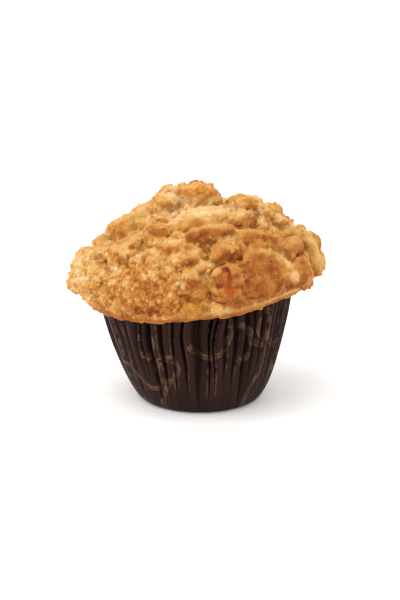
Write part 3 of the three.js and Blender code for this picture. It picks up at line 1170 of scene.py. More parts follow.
@dataclass(frozen=True)
class PrintedPaper:
    """Greaseproof baking paper, dyed dark brown right through and printed with dull bronze scrolls.

    It is calendered. The long soft highlights along its folds and the lighter and darker faces of its
    pleats are painted light, and the thin print is patchy and uneven.
    """

    name: str = "printed_paper"
    ground: str = "271816"
    # The colour of the painted highlights along the fold edges.
    painted_fold_highlight: str = "8c755c"
    shade: str = "0a0302"
    bronze: str = "664d36"
    repeat: float = 58.0
    vines: tuple[Vine, ...] = (
        Vine((6, 10), 70, ((12, -120), (9, 150), (6, 120), (3.6, 110))),
        Vine((30, 8), 10, ((16, 80), (7, -165), (4.6, -120))),
        Vine((26, 50), -70, ((15, 70), (8, -120), (5.6, 165))),
        Vine((54, 30), 120, ((14, -75), (6.5, 150), (4.4, 120))),
    )

    def _stroke_group(self) -> NodeTree:
        """Makes the node group that says how strongly one stroke's ink lies at a place.

        Returns:
            The group, whose inputs are the names that a vine's strokes give.
        """
        group = bpy.data.node_groups.new("scroll_stroke", "ShaderNodeTree")
        vectors, numbers = ("Place", "Centre"), ("Radius", "Start", "Sweep", "Half Width")
        for kind, names in (("Vector", vectors), ("Float", numbers)):
            for name in names:
                group.interface.new_socket(name, in_out="INPUT", socket_type=f"NodeSocket{kind}")
        group.interface.new_socket("Ink", in_out="OUTPUT", socket_type="NodeSocketFloat")
        given = add_node(group, "NodeGroupInput").outputs
        away = add_node(
            group, "ShaderNodeVectorMath", (given["Place"], given["Centre"]), operation="SUBTRACT"
        ).outputs[0]
        length = add_node(group, "ShaderNodeVectorMath", (away,), operation="LENGTH")
        x, y, _ = add_node(group, "ShaderNodeSeparateXYZ", (away,)).outputs
        known = {name: given[name] for name in numbers} | {"x": x, "y": y, "length": length.outputs["Value"]}
        # How far round the arc the place is, how far from its line, and the ink of two dull lines with
        # a gap between them that is itself a little printed.
        for name, kind, operation, *terms in (
            ("angle", "Math", "ARCTAN2", "y", "x"),
            ("turn", "Math", "DIVIDE", "angle", math.tau),
            ("begun", "Math", "SUBTRACT", "turn", "Start"),
            ("gone", "Math", "FLOORED_MODULO", "begun", 1.0),
            ("left", "Math", "SUBTRACT", "Sweep", "gone"),
            ("offset", "Math", "SUBTRACT", "length", "Radius"),
            ("apart", "Math", "ABSOLUTE", "offset"),
            ("share", "Math", "DIVIDE", "apart", "Half Width"),
            ("outside", "MapRange", None, "share", 1.2, 0.8),
            ("inside", "MapRange", None, "share", 0.5, 0.2, 0.0, 0.6),
            ("line", "Math", "SUBTRACT", "outside", "inside"),
            ("gate", "MapRange", None, "left", 0.0, 0.004),
            ("ink", "Math", "MULTIPLY", "line", "gate"),
        ):
            settings = {"operation": operation} if operation else {}
            terms = [known.get(term, term) for term in terms]
            known[name] = add_node(group, f"ShaderNode{kind}", terms, **settings).outputs[0]
        add_node(group, "NodeGroupOutput", (known["ink"],))
        return group

    def _ink(self, tree: NodeTree) -> NodeSocket:
        """Adds the print's nodes and returns how strongly its ink lies, from 0 to 1.

        Args:
            tree: The material's node tree.

        Returns:
            The strength's socket.
        """
        flat = add_node(tree, "ShaderNodeAttribute", attribute_name="flat_paper").outputs["Vector"]
        # The hand of the printer: strokes wander by about a millimetre over 15 mm.
        wander = add_node(tree, "ShaderNodeTexNoise", {"Vector": flat, "Scale": 0.07, "Detail": 1})
        place = wander.outputs["Color"]
        for operation, *terms in (
            ("SUBTRACT", (0.5, 0.5, 0.5)),
            ("MULTIPLY_ADD", (6.0, 6.0, 0.0), flat),
            ("WRAP", (self.repeat, self.repeat, 0), (0, 0, 0)),
        ):
            place = add_node(
                tree, "ShaderNodeVectorMath", (place, *terms), operation=operation
            ).outputs[0]
        group = self._stroke_group()
        ink, *others = (
            add_node(tree, "ShaderNodeGroup", {"Place": place, **stroke}, node_tree=group).outputs["Ink"]
            for vine in self.vines
            for stroke in vine.strokes()
        )
        for other in others:
            ink = add_node(tree, "ShaderNodeMath", (ink, other), operation="MAXIMUM").outputs[0]
        return ink

    def material(self) -> Material:
        """Builds the node material.

        Returns:
            The finished material.
        """
        made, tree, place, (fold, crease, sheen) = new_material(self.name, "fold", "crease", "sheen")
        blotch = add_node(tree, "ShaderNodeTexNoise", grain(place, 3, 3, 0.7)).outputs["Fac"]
        # The print is thin in blotches 3 mm wide, the painted highlights along the folds are broken up by the
        # same blotches, and each face of a pleat is painted lighter or darker as a painted sheen.
        held, rubbed, painted_facet_light = (
            add_node(tree, "ShaderNodeMapRange", values).outputs[0]
            for values in ((blotch, 0.36, 0.64, 0.05, 0.85), (blotch, 0.4, 0.64), (sheen, 0.0, 1.0, 0.4, 2.0))
        )
        printed, painted_fold_highlight = (
            add_node(tree, "ShaderNodeMath", pair, operation="MULTIPLY").outputs[0]
            for pair in ((self._ink(tree), held), (fold, rubbed))
        )
        colour = linear(self.ground)
        for share, tint, blend in (
            (printed, linear(self.bronze), "MIX"),
            (painted_fold_highlight, linear(self.painted_fold_highlight), "MIX"),
            (1.0, painted_facet_light, "MULTIPLY"),
            # Creases, where no light gets in and the print is folded away.
            (crease, linear(self.shade), "MIX"),
        ):
            colour = add_node(
                tree, "ShaderNodeMix", {0: share, 6: colour, 7: tint}, data_type="RGBA", blend_type=blend
            ).outputs[2]
        # Paper fibres, drawn at 0.9 mm so that they show.
        fibres = grain(place, 0.9, 4, 0.7)
        close_material(tree, colour, fibres, (0.2, 0.0002), Roughness=0.42, Specular_IOR_Level=0.03)
        return made


# Pieces --------------------------------------------------------------------------------------


@dataclass(frozen=True)
class Foothold:
    """A place on the crown's surface, with its own axes as rows: across, up the slope and outwards."""

    centre: np.ndarray
    axes: np.ndarray

    def local(self, points: np.ndarray) -> np.ndarray:
        """Turns points to the foothold's own axes."""
        return (points - self.centre) @ self.axes.T


@dataclass
class BakedCake:
    """The baked cake: its crumbly top and, inside the case, its plain body.

    Attributes:
        node: The CAD node that it replaces.
        slot: The record's material slot.
        cut_height: Where the top and the body part, hidden by the case. All lengths are millimetres.
        shrink: How far the top sinks in before the lumps are laid on.
        rough_voxel: The remeshing's grid while the large lumps are modelled.
        voxel: Its grid for the finished surface.
        most_faces: How many triangles the crown keeps at most.
        lip_room: How far over the rim its ragged lower edge is drawn up.
        lip_radius: The radius of the ring that fills the groove over the rim.
        lip_tube: The radius of that ring's round section.
    """

    node: str = "muffin_cake"
    slot: str = "baked_cake"
    cut_height: float = 31.0
    shrink: float = 0.7
    rough_voxel: float = 0.75
    voxel: float = 0.42
    most_faces: int = 190000
    lip_room: float = 4.0
    lip_radius: float = 38.0
    lip_tube: float = 2.0

    def _cut(self, name: str, keep_top: bool) -> Object:
        """Copies the node and keeps what lies above or below the cut, closed by a flat face.

        Args:
            name: The piece's name.
            keep_top: Whether the part above the cut stays.

        Returns:
            The closed piece.
        """
        piece = copy_of_node(self.node, name)
        sides = {"clear_inner": keep_top, "clear_outer": not keep_top}
        with edit_mode(piece):
            bpy.ops.mesh.bisect(plane_co=(0, 0, self.cut_height), plane_no=(0, 0, 1), use_fill=True, **sides)
        return piece

    def _foothold(self, tree: BVHTree, place: Crag | Cleft) -> Foothold:
        """Finds the surface where a crag or a cleft lies, and the axes that it has there.

        Args:
            tree: The crown's surface, ready for rays.
            place: The crag or the cleft.

        Returns:
            Its foothold.
        """
        outer, inner, bare = (FORM.towards(place.azimuth, place.rise, share) for share in (1.5, 0.2, 1))
        hit = tree.ray_cast(Vector(outer), Vector(inner - outer))[0]
        centre = np.array(hit if hit is not None else bare)
        up = FORM.upslope(centre[None])[0]
        a, roll = math.radians(place.azimuth), math.radians(place.roll)
        across = unit(np.array([math.cos(a), math.sin(a), 0.0]))
        outwards = unit(np.cross(across, up))
        c, s = math.cos(roll), math.sin(roll)
        return Foothold(centre, np.array([c * across + s * up, c * up - s * across, outwards]))

    def _placed(self, crown: Object, places: Sequence[Crag | Cleft]) -> list[tuple]:
        """Pairs each crag or cleft with its foothold on the crown.

        Args:
            crown: The crown, in millimetres.
            places: The crags or the clefts.

        Returns:
            The pairs, in the same order.
        """
        faces = [polygon.vertices for polygon in crown.data.polygons]
        tree = BVHTree.FromPolygons(points_of(crown.data).tolist(), faces)
        return [(place, self._foothold(tree, place)) for place in places]

    def _crags(self, placed: Sequence[tuple[Crag, Foothold]]) -> Object:
        """Models the crags as rough rounded blocks, each sunk by half in its foothold.

        Args:
            placed: Each crag with its foothold.

        Returns:
            The blocks, as one object.
        """
        ball, faces = ball_template(4)
        points = []
        for crag, foothold in placed:
            drift = Vector((1.7 * crag.azimuth, 3.1, 1.3 * crag.rise))
            uneven = sampled(ball, lambda p: noise.fractal(p * 1.9 + drift, 0.75, 2.2, 4))
            shape = np.sign(ball) * np.abs(ball) ** 0.85 * (1 + 0.32 * uneven)[:, None]
            shape = shape * np.array([crag.across, crag.tall, crag.deep]) / 2
            shape[:, 2] -= 0.12 * crag.deep
            points.append(shape @ foothold.axes + foothold.centre)
        return mesh_object("crags", points, [faces] * len(points))

    def _sink_clefts(self, crown: Object) -> None:
        """Pushes the surface in where there are deep gaps between lumps.

        Args:
            crown: The crown, in millimetres.
        """
        points = points_of(crown.data)
        for cleft, foothold in self._placed(crown, CLEFTS):
            x, y, z = (foothold.local(points) / (np.array([cleft.across, cleft.tall, 16]) / 2)).T
            near = np.clip(1 - x * x - y * y, 0, 1) ** 1.5 * smoothstep(1, 0.5, np.abs(z))
            points -= foothold.axes[2] * (cleft.depth * near)[:, None]
        move_points(crown.data, points)

    def _lower_edge(self, angle: np.ndarray) -> np.ndarray:
        """Height of the crown's ragged lower edge at angles round Z, before it leans.

        Args:
            angle: The angles in radians.

        Returns:
            A height for each of them.
        """
        circle = np.column_stack([np.cos(angle), np.sin(angle), 0 * angle])
        slow = sampled(circle, lambda p: noise.noise(p * 2.4 + Vector((0, 0, 1.7))))
        quick = sampled(circle, lambda p: noise.noise(p * 14 + Vector((0, 0, 5.1))))
        return FORM.rim_height + 0.35 + 0.9 * slow + 1.3 * quick

    def _lift_edge(self, crown: Object) -> None:
        """Draws the lip up to the ragged lower edge.

        Args:
            crown: The crown, in millimetres.
        """
        level = FORM.upright(points_of(crown.data))
        x, y, z = level.T
        room = FORM.rim_height + self.lip_room
        outside = np.hypot(x, y) > FORM.wall_radius(z) - 0.4
        low = outside & (z < room) & (z > FORM.rim_height - 2)
        edge = self._lower_edge(np.arctan2(y[low], x[low]))
        lifted = edge + (z[low] - FORM.rim_height) * (room - edge) / self.lip_room
        level[low, 2] = np.maximum(z[low], lifted)
        move_points(crown.data, FORM.leaned(level))

    def _edge_ring(self) -> Object:
        """Fills the groove over the case's rim, with an uneven lower edge that droops over the paper.

        Returns:
            The ring.
        """
        sizes = {"major_radius": self.lip_radius, "minor_radius": self.lip_tube}
        ring = primitive("torus", "edge_ring", major_segments=300, minor_segments=12, **sizes)
        x, y, z = points_of(ring.data).T
        angle, side = np.arctan2(y, x), (np.hypot(x, y) - self.lip_radius) / self.lip_tube
        edge = self._lower_edge(angle)
        out = FORM.wall_radius(edge) + 0.5 - 1.6 + 1.8 * side
        height = edge + 1.1 * (z / self.lip_tube + 1)
        droop = np.column_stack([out * np.cos(angle), out * np.sin(angle), height])
        move_points(ring.data, FORM.leaned(droop))
        return ring

    def _tear(self, crown: Object) -> None:
        """Gives the lumps the broken faces of torn crumble, 3 to 5 mm across.

        Args:
            crown: The crown, in millimetres.
        """
        points, facing = surface_of(crown.data)
        on = Survey.of(points)
        broken = sampled(points, lambda p: noise.ridged_multi_fractal(p / 5.5, 0.8, 2.1, 3, 0.9, 2.0))
        aside = sampled(points, lambda p: noise.noise_vector(p / 4.2) + 0.5 * noise.noise_vector(p / 2.1))
        share = ((1 - 0.9 * np.maximum(on.skin, 0.55 * on.smooth)) * on.open)[:, None]
        move = facing * (0.45 * (broken - broken.mean())).clip(-1, 0.8)[:, None] + 0.85 * aside
        move_points(crown.data, points + move * share)

    @staticmethod
    def _wrinkle(point: Vector) -> float:
        """Height of the smooth crust's wrinkles: thin level folds about 1.5 mm apart.

        Args:
            point: A point of the crown.

        Returns:
            The height, from about -0.5 in the dimples to 0.5 on the folds.
        """
        warped = Vector((point.x / 3.4, point.y / 3.4, point.z / 2.2)) + 0.8 * noise.noise_vector(point / 2.6)
        fold = max(0.0, 1 - abs(noise.noise(warped)) / 0.26) * (0.7 + 1.4 * noise.noise(point / 4))
        dimple = max(0.0, 1 - noise.voronoi(point / 3.6)[0][0] / 0.26)
        return fold - 0.4 - 1.0 * dimple

    def _relief(self, crown: Object) -> None:
        """Roughens the remeshed crown at the sizes of crumbs, pits and sugar grains.

        Args:
            crown: The crown, in millimetres.
        """
        points, facing = surface_of(crown.data)
        on = Survey.of(points)
        bead = sampled(points, lambda p: 0.45 - noise.voronoi(p / 1.9)[0][0])
        fine, low, fibre = (sampled(points, lambda p: noise.noise(p / size)) for size in (0.9, 5, 1.8))
        rough = sampled(points, lambda p: noise.ridged_multi_fractal(p / 3.2, 0.8, 2.1, 2, 0.9, 2.0))
        move = bead * (0.4 + 0.4 * on.granular) * (1 - on.skin) * (1 - 0.6 * on.smooth)
        move += fine * (0.17 + 0.05 * on.skin)
        move += 0.26 * (rough - rough.mean()) * (1 - on.skin) * (1 - 0.5 * on.smooth)
        # The smooth crust has shallow dimples between fine wrinkles.
        move += (0.4 * low + 0.5 * sampled(points, self._wrinkle) + 0.45 * fibre) * on.skin
        move_points(crown.data, points + facing * (move * on.open)[:, None])

    def _depths(self, mesh: Mesh, rounds: Sequence[int]) -> list[np.ndarray]:
        """Measures how far each point lies under a smoothed copy of the surface.

        Args:
            mesh: The surface.
            rounds: After how many rounds of smoothing to measure, in rising order.

        Returns:
            For each of the rounds, the depth of every point: above 0 in hollows and below 0 on crests.
        """
        edges = np.empty(len(mesh.edges) * 2, np.int32)
        mesh.edges.foreach_get("vertices", edges)
        a, b = edges.reshape(-1, 2).T
        points, facing = surface_of(mesh)
        degree = np.bincount(np.concatenate([a, b]), minlength=len(points))
        smooth = points.copy()
        depths = []
        for step in range(1, rounds[-1] + 1):
            for k in range(3):
                total = np.bincount(a, smooth[b, k], len(points)) + np.bincount(b, smooth[a, k], len(points))
                smooth[:, k] = 0.3 * smooth[:, k] + 0.7 * total / degree
            if step in rounds:
                depths.append(((smooth - points) * facing).sum(1))
        return depths

    def _deepen(self, crown: Object) -> None:
        """Sinks the gaps between the lumps.

        Args:
            crown: The crown, in millimetres.
        """
        (depth,) = self._depths(crown.data, (45,))
        points, facing = surface_of(crown.data)
        move = np.clip(0.18 * depth, 0, 0.8) * Survey.of(points).open
        move_points(crown.data, points - facing * move[:, None])

    def _tones(self, crown: Object, placed: Sequence[tuple[Crag, Foothold]], grains: Grains) -> None:
        """Writes each point's tone, from baking and from painted light, and the painted shade of its depth.

        Args:
            crown: The finished crown.
            placed: Each crag with its foothold.
            grains: The nuggets and grains that are part of the crown.
        """
        points, facing = surface_of(crown.data)
        near, wide = self._depths(crown.data, (10, 70))
        on = Survey.of(points)
        # Painted light: the top of the dome is paler than its lower slopes, as if lit from above.
        tone = 0.25 + 0.15 * smoothstep(40, 70, on.rise)
        tone += 0.45 * sampled(points, lambda p: noise.fractal(p / 8, 0.8, 2.0, 2))
        patches = sampled(points, lambda p: noise.noise(p / 3.5))
        painted_wrinkle_light = sampled(points, self._wrinkle)
        # The smooth crust is browner, with painted highlights on the folds of its wrinkles and painted shade
        # in its dimples.
        tone += on.skin * (-0.42 + 0.4 * patches + 0.4 * painted_wrinkle_light - tone) * 0.9
        # Each crag is paler above and browner below: partly baking, partly painted light and painted shade.
        for crag, foothold in placed:
            upper, lower = crag.bake.value
            x, y, z = (foothold.local(points) / (np.array([crag.across, crag.tall, crag.deep + 2]) / 2)).T
            share = smoothstep(1.4, 0.85, np.sqrt(x * x + y * y + z * z))
            tone += 0.75 * share * (lower + (upper - lower) * smoothstep(-0.75, 0.1, y) - tone)
        # Each grain took its own colour from the oven, and the cake between them is darker: painted shade
        # between the grains.
        number, away = grains.under(points)
        strength = (0.35 + 0.65 * on.granular) * (1 - on.skin)
        tone += strength * smoothstep(1.15, 0.75, away) * (0.1 + 0.5 * (number - 0.5))
        tone -= 0.2 * strength * smoothstep(0.95, 1.3, away)
        # The crust over the case: golden brown, with a light lip along its lower edge.
        skirt = smoothstep(-22, -42, on.rise)
        tone += skirt * (-0.52 + 0.35 * patches - tone) * 0.85
        # Broad patches, partly from baking and partly painted light: mostly brighter high on the crown.
        for patch in TONE_PATCHES:
            aside, above = (on.azimuth - patch.azimuth) / patch.reach, (on.rise - patch.rise) / patch.height
            tone += patch.change * smoothstep(1.3, 0.2, np.hypot(aside, above)) * (1 - 0.8 * on.skin)
        # What faces down the slope is browner, partly toasting and partly painted shade on the undersides,
        # and what stands out toasts.
        tone -= 0.25 * smoothstep(0.0, -0.7, (facing * FORM.upslope(points)).sum(1))
        tone -= 0.15 * smoothstep(0.0, -1.2, wide)
        level = FORM.upright(points)[:, 2]
        tone += smoothstep(FORM.rim_height + 1.4, FORM.rim_height + 0.7, level) * (-0.25 - tone)
        # Painted shade in the hollows and the gaps between lumps, darker where the surface lies deeper.
        hollow = (0.34 + 0.15 * on.granular) * smoothstep(0.06, 0.4, near)
        hollow += 0.3 * smoothstep(0.6, 2.6, wide)
        soaked = np.hypot((on.azimuth - 4) / 13, (on.rise + 9) / 17)
        write_attributes(
            crown.data,
            granular=on.granular * on.open,
            juice=0.8 * smoothstep(1.1, 0.4, soaked),
            tone=np.clip((tone + 1) / 2, 0, 1),
            hollow=np.clip(hollow * (1 - 0.6 * skirt), 0, 0.9),
        )

    def _crumb_tones(self, crumbs: Object, places: Grains, crown: Object) -> None:
        """Gives each loose crumb the tone of the crown under it, a little paler or browner, and a share of
        its painted shade.

        Args:
            crumbs: The loose crumbs, all with as many points.
            places: Where each of them lies.
            crown: The crown, with its attributes written.
        """
        tree = tree_of([vertex.co for vertex in crown.data.vertices])
        under = np.array([tree.find(centre)[1] for centre in places.centres])
        corners = len(crumbs.data.vertices) // len(under)
        # Each crumb also takes three tenths of the painted shade of the crown under it.
        for name, share in (("tone", 1.0), ("juice", 1.0), ("granular", 1.0), ("hollow", 0.3)):
            values = np.empty(len(crown.data.vertices), np.float32)
            crown.data.attributes[name].data.foreach_get("value", values)
            own = share * values[under]
            if name == "tone":
                own = np.clip(0.12 + 0.85 * own + 0.3 * (places.numbers - 0.4), 0, 0.9)
            write_attributes(crumbs.data, **{name: np.repeat(own, corners)})

    def build(self) -> None:
        """Makes the crown, its loose crumbs and the body inside the case."""
        fillers = [copy_of_node(chunk.node, "pocket_filler") for chunk in fruit_chunks()]
        crown = joined([self._cut("cake_crown", keep_top=True), *fillers], "cake_crown")
        apply_modifier(crown, "REMESH", mode="VOXEL", voxel_size=self.rough_voxel)
        apply_modifier(crown, "SMOOTH", factor=0.5, iterations=3)
        points, facing = surface_of(crown.data)
        move_points(crown.data, points - facing * (self.shrink * Survey.of(points).open)[:, None])
        large_crags = self._placed(crown, [crag for crag in CRAGS if not crag.small])
        lumps, _ = LUMPS.build(crown.data)
        crown = joined([crown, self._crags(large_crags), lumps], "cake_crown")
        apply_modifier(crown, "REMESH", mode="VOXEL", voxel_size=self.rough_voxel)
        for shape in (self._tear, self._sink_clefts, self._deepen, self._lift_edge):
            shape(crown)
        small_crags = self._placed(crown, [crag for crag in CRAGS if crag.small])
        nuggets, large = NUGGETS.build(crown.data)
        grains, small = GRAINS.build(crown.data)
        crown = joined([crown, self._crags(small_crags), nuggets, grains, self._edge_ring()], "cake_crown")
        apply_modifier(crown, "REMESH", mode="VOXEL", voxel_size=self.voxel)
        apply_modifier(crown, "SMOOTH", factor=0.5, iterations=2)
        self._relief(crown)
        faces = sum(len(polygon.vertices) - 2 for polygon in crown.data.polygons)
        apply_modifier(crown, "DECIMATE", ratio=min(1, self.most_faces / faces))
        self._tones(crown, large_crags + small_crags, large.joined_with(small))
        crumbs, places = CRUMBS.build(crown.data)
        self._crumb_tones(crumbs, places, crown)
        finish = BakedCrumble().material()
        for piece in (crown, crumbs, self._cut("cake_body", keep_top=False)):
            finish_piece(piece, self.node, self.slot, finish)


class Peel(Enum):
    """Where a fruit chunk keeps its skin: points of a strip over its face, each across and up in
    shares of the chunk's half size, from the darkest end to the palest."""

    NONE = ()
    HOOK = (
        (-0.6, 0.54), (-0.2, 0.66), (-0.01, 0.5), (-0.03, 0.22), (-0.12, -0.06), (-0.1, -0.36), (0.0, -0.66)
    )
    CAP = ((-0.9, 0.6), (-0.5, 0.85), (0.0, 0.9), (0.25, 0.85))
    SIDE = ((-0.8, -0.6), (-0.7, 0.0), (-0.5, 0.7))


@dataclass
class FruitChunk:
    """One chunk of fruit that shows in the crown, made from its CAD node.

    Attributes:
        node: The CAD node that it replaces.
        peel: Where it keeps its skin.
        strip: Half the width of the strip of skin in millimetres.
        finish: Its flesh and skin.
        seed: The source of chance.
        bevel: How far its upper right corner baked down in millimetres.
        core_depth: How deep under the crown's widest ring the point lies that it faces away from.
    """

    node: str
    peel: Peel
    strip: float
    finish: CookedFruit
    seed: int
    bevel: float = 0.0
    core_depth: float = 12

    def _axes(self, points: np.ndarray) -> Foothold:
        """Finds the chunk's centre and its own axes.

        Args:
            points: The chunk's points.

        Returns:
            The centre and the axes, as a foothold.
        """
        centre = points.mean(0)
        outwards = unit(centre - np.array([FORM.lean, 0, FORM.widest_height - self.core_depth]))
        across = np.cross(np.array([0.0, 0.0, 1.0]), outwards)
        if np.linalg.norm(across) < 0.35:
            # A chunk at the very top leans to the front.
            across, outwards = np.array([1.0, 0.0, 0.0]), unit(np.array([0.15, -0.6, 0.8]))
        across = unit(across)
        return Foothold(centre, np.array([across, np.cross(outwards, across), outwards]))

    def _skin(self, place: np.ndarray, half: np.ndarray) -> tuple[np.ndarray, np.ndarray, np.ndarray]:
        """Says how far each point is skin, and where it lies along and beside the strip of skin.

        Args:
            place: The chunk's points, in its own axes.
            half: Half the chunk's size along each of its axes.

        Returns:
            The share of skin, the way along the strip and the nearness to it, all from 0 to 1.
        """
        skin, along, inside = np.zeros((3, len(place)))
        nearest = np.full(len(place), np.inf)
        corners = np.array(self.peel.value, float).reshape(-1, 2) * half[:2]
        for number, (start, end) in enumerate(zip(corners, corners[1:])):
            way, beside = end - start, place[:, :2] - start
            t = np.clip((beside @ way) / (way @ way), 0, 1)
            away = np.linalg.norm(beside - t[:, None] * way, axis=1)
            closer = away < nearest
            within = smoothstep(0.4, -0.6, way[0] * beside[:, 1] - way[1] * beside[:, 0])
            inside[closer], nearest[closer] = within[closer], away[closer]
            along[closer] = (number + t[closer]) / (len(corners) - 1)
        outside = smoothstep(-0.3, 0.1, place[:, 2] / half[2])
        if len(corners):
            # The strip is broad at both ends and narrow between.
            broad = 0.6 + 0.4 * smoothstep(0.45, 0.1, along) + 0.9 * smoothstep(0.6, 0.95, along)
            skin = smoothstep(1.3, 0.75, nearest / (self.strip * broad)) * outside
        return skin, along, smoothstep(3.2, 0.8, nearest) * outside * inside

    def build(self) -> None:
        """Makes the chunk: softened edges, fibres and a raised strip of skin."""
        chunk = copy_of_node(self.node, self.node.replace("fruit_chunk", "fruit_piece"))
        apply_modifier(chunk, "SUBSURF", levels=2, render_levels=2)
        points, facing = surface_of(chunk.data)
        place = self._axes(points).local(points)
        half = np.abs(place).max(0)
        drift = Vector((7.3 * self.seed, 0, 0))
        soft = sampled(points, lambda p: noise.fractal((p + drift) / 4.2, 0.8, 2.1, 3))
        fibres = sampled(points, lambda p: abs(noise.noise((p + drift) / 1.6)))
        skin, along, near_skin = self._skin(place, half)
        corner = smoothstep(1.0, 1.6, np.linalg.norm(place / half, axis=1))
        shift = 0.1 + 0.95 * soft - 0.6 * fibres * (1 - skin) + 0.3 * skin - 1.2 * corner
        shift -= self.bevel * smoothstep(0.5, 1.4, (place[:, :2] / half[:2]).sum(1))
        move_points(chunk.data, points + facing * shift[:, None])
        write_attributes(chunk.data, skin=skin, along=along, near_skin=near_skin)
        finish_piece(chunk, self.node, "cooked_fruit", self.finish.material())


@dataclass
class PleatedCase:
    """The paper baking case: a flat foot and a thin wall pressed into uneven pleats.

    Attributes:
        node: The CAD node that it replaces.
        pleats: How many pleats there are.
        shallow: The share of them that the press left shallow.
        depth: How deep the others fold in at the rim. All lengths are millimetres.
        rows: How many rings of points the wall has.
        thickness: The paper's thickness.
        phases: The places of the points across a pleat, closest together in the crease.
        foot_rings: The radii of the foot's rings, in shares of its radius.
        foot_height: How high the foot's rings lie.
        wall_start: How high the wall starts.
        top_over_rim: How far it reaches past the tucked rim, under the crown.
        dents: How deep it is dented.
        sway: How far the folds sway, in radians.
        print_offset: How far the flat paper lies from the origin, so that its print has no seam there.
        seed: The source of chance.
    """

    node: str = "paper_case"
    pleats: int = 60
    shallow: float = 0.1
    depth: float = 2.6
    rows: int = 44
    thickness: float = 0.14
    phases: tuple[float, ...] = (0, 0.035, 0.08, 0.13, 0.19, 0.3, 0.5, 0.7, 0.81, 0.87, 0.92, 0.965)
    foot_rings: tuple[float, ...] = (0.3, 0.75, 0.96)
    foot_height: float = 0.03
    wall_start: float = 0.05
    top_over_rim: float = 1.6
    dents: float = 0.55
    sway: float = 0.065
    print_offset: float = 300.0
    seed: int = 7

    def _turns(self, rng: np.random.Generator) -> np.ndarray:
        """Sets the columns round the case, in turns. Some pleats are three times as wide as others.

        Args:
            rng: The source of chance.

        Returns:
            A turn from 0 to 1 for each column of points.
        """
        widths = rng.uniform(0.45, 1.6, self.pleats)
        widths /= widths.sum()
        starts = np.concatenate([[0], np.cumsum(widths)[:-1]])
        return (starts[:, None] + widths[:, None] * np.array(self.phases)).ravel()

    def _folds(self, rng: np.random.Generator, climb: np.ndarray) -> tuple[np.ndarray, ...]:
        """Shapes the pleats.

        Args:
            rng: The source of chance.
            climb: A column of how far the wall has spread, from 0 at the foot to 1 at the rim.

        Returns:
            For each row and column, how far it lies inside the outermost folds in millimetres, how strongly a
            painted highlight lies on its fold edge, how deep it is in a crease, and its pleat face's painted
            light.
        """
        phase = np.tile(np.array(self.phases), self.pleats)
        number = np.repeat(np.arange(self.pleats), len(self.phases))
        strength = np.where(rng.random(self.pleats) < self.shallow, 0.25, 1.0)
        strength *= rng.uniform(0.6, 1.0, self.pleats)
        bounds = ((-0.2, 0.6), (-1.0, 1.0), (0.15, 1.0), (0.6, 1.7), (-1, 1))
        start, slope, glint, broad, facet_light_offset = (rng.uniform(*pair, self.pleats) for pair in bounds)
        side = np.where(phase < 0.5, number, (number + 1) % self.pleats)
        away = np.minimum(phase, 1 - phase)
        grown = smoothstep(0, 1, (climb - start[side]) / (0.85 - start[side]))
        crease = np.clip(1.25 - 1.25 * away / ((0.09 + 0.19 * grown) * broad[side]), 0, 1)
        tilt = slope[number] * (phase - 0.5)
        inwards = self.depth * crease * strength[side] * (0.15 + 0.85 * grown) * climb
        inwards += (0.9 * np.maximum(tilt, -0.3) + 0.27) * climb + 0.35 * (2 * phase - 1) ** 2 * grown
        # The deepest folds stop short of the cake.
        inwards = np.minimum(inwards, 0.35 + 2.55 * climb)
        proud = np.where(slope[number] > 0, phase < 0.5, phase > 0.5)
        # A painted highlight along the proud edge of each fold, strong on only some pleats.
        edge = np.clip(1 - np.abs(away - 0.16 - 0.05 * grown) / 0.07, 0, 1) * proud * glint[number]
        # Painted light: each pleat face lighter or darker by its tilt and its own offset, more so near the
        # rim.
        painted_facet_light = 0.5 + 0.5 * (facet_light_offset[number] + slope[number] * (2 * phase - 1)) / 2
        painted_facet_light = 0.5 + (painted_facet_light - 0.5) * (0.4 + 0.6 * climb)
        return inwards, edge * np.sqrt(grown), crease * strength[side] * np.sqrt(grown), painted_facet_light

    def _sheet(self, columns: int) -> Object:
        """Extrudes the wall, row by row, from a ring of this many points at the foot's middle.

        Args:
            columns: How many points go round the case.

        Returns:
            The sheet, whose points run ring by ring to the rim.
        """
        sheet = primitive("circle", "baking_case", vertices=columns, radius=1, fill_type="NOTHING")
        with edit_mode(sheet):
            for _ in range(self.rows + len(self.foot_rings) - 1):
                bpy.ops.mesh.extrude_region_move(TRANSFORM_OT_translate={"value": (0, 0, 1)})
        return sheet

    def build(self) -> None:
        """Makes the wall and the foot, with the place of each point on the flat paper for the print."""
        rng = np.random.default_rng(self.seed)
        angle = math.tau * self._turns(rng)
        circle = np.column_stack([np.cos(angle), np.sin(angle)])
        top = FORM.rim_height + FORM.rim_tuck + self.top_over_rim
        heights = self.wall_start + (top - self.wall_start) * np.linspace(0, 1, self.rows) ** 1.2
        climb = FORM.spread(heights)[:, None]
        inwards, edge, crease, painted_facet_light = self._folds(rng, climb)
        dents, sway = (
            np.array(
                [[noise.noise(Vector((k * x, k * y, z / tall + up))) for x, y in circle] for z in heights]
            )
            for k, tall, up in ((2.6, 15, 0), (5, 18, 9))
        )
        radius = FORM.wall_radius(heights)[:, None] - 0.08 - inwards
        radius -= self.dents * (dents + 0.35).clip(0) * climb
        turned = angle + self.sway * sway * climb
        wall = np.stack([radius * np.cos(turned), radius * np.sin(turned), 0 * radius + heights[:, None]], -1)
        foot = [np.pad(share * FORM.foot_radius * circle, ((0, 0), (0, 1))) for share in self.foot_rings]
        sheet = self._sheet(len(angle))
        raised = [ring + np.array([0, 0, self.foot_height]) for ring in foot]
        move_points(sheet.data, FORM.leaned(np.concatenate([*raised, *wall])))
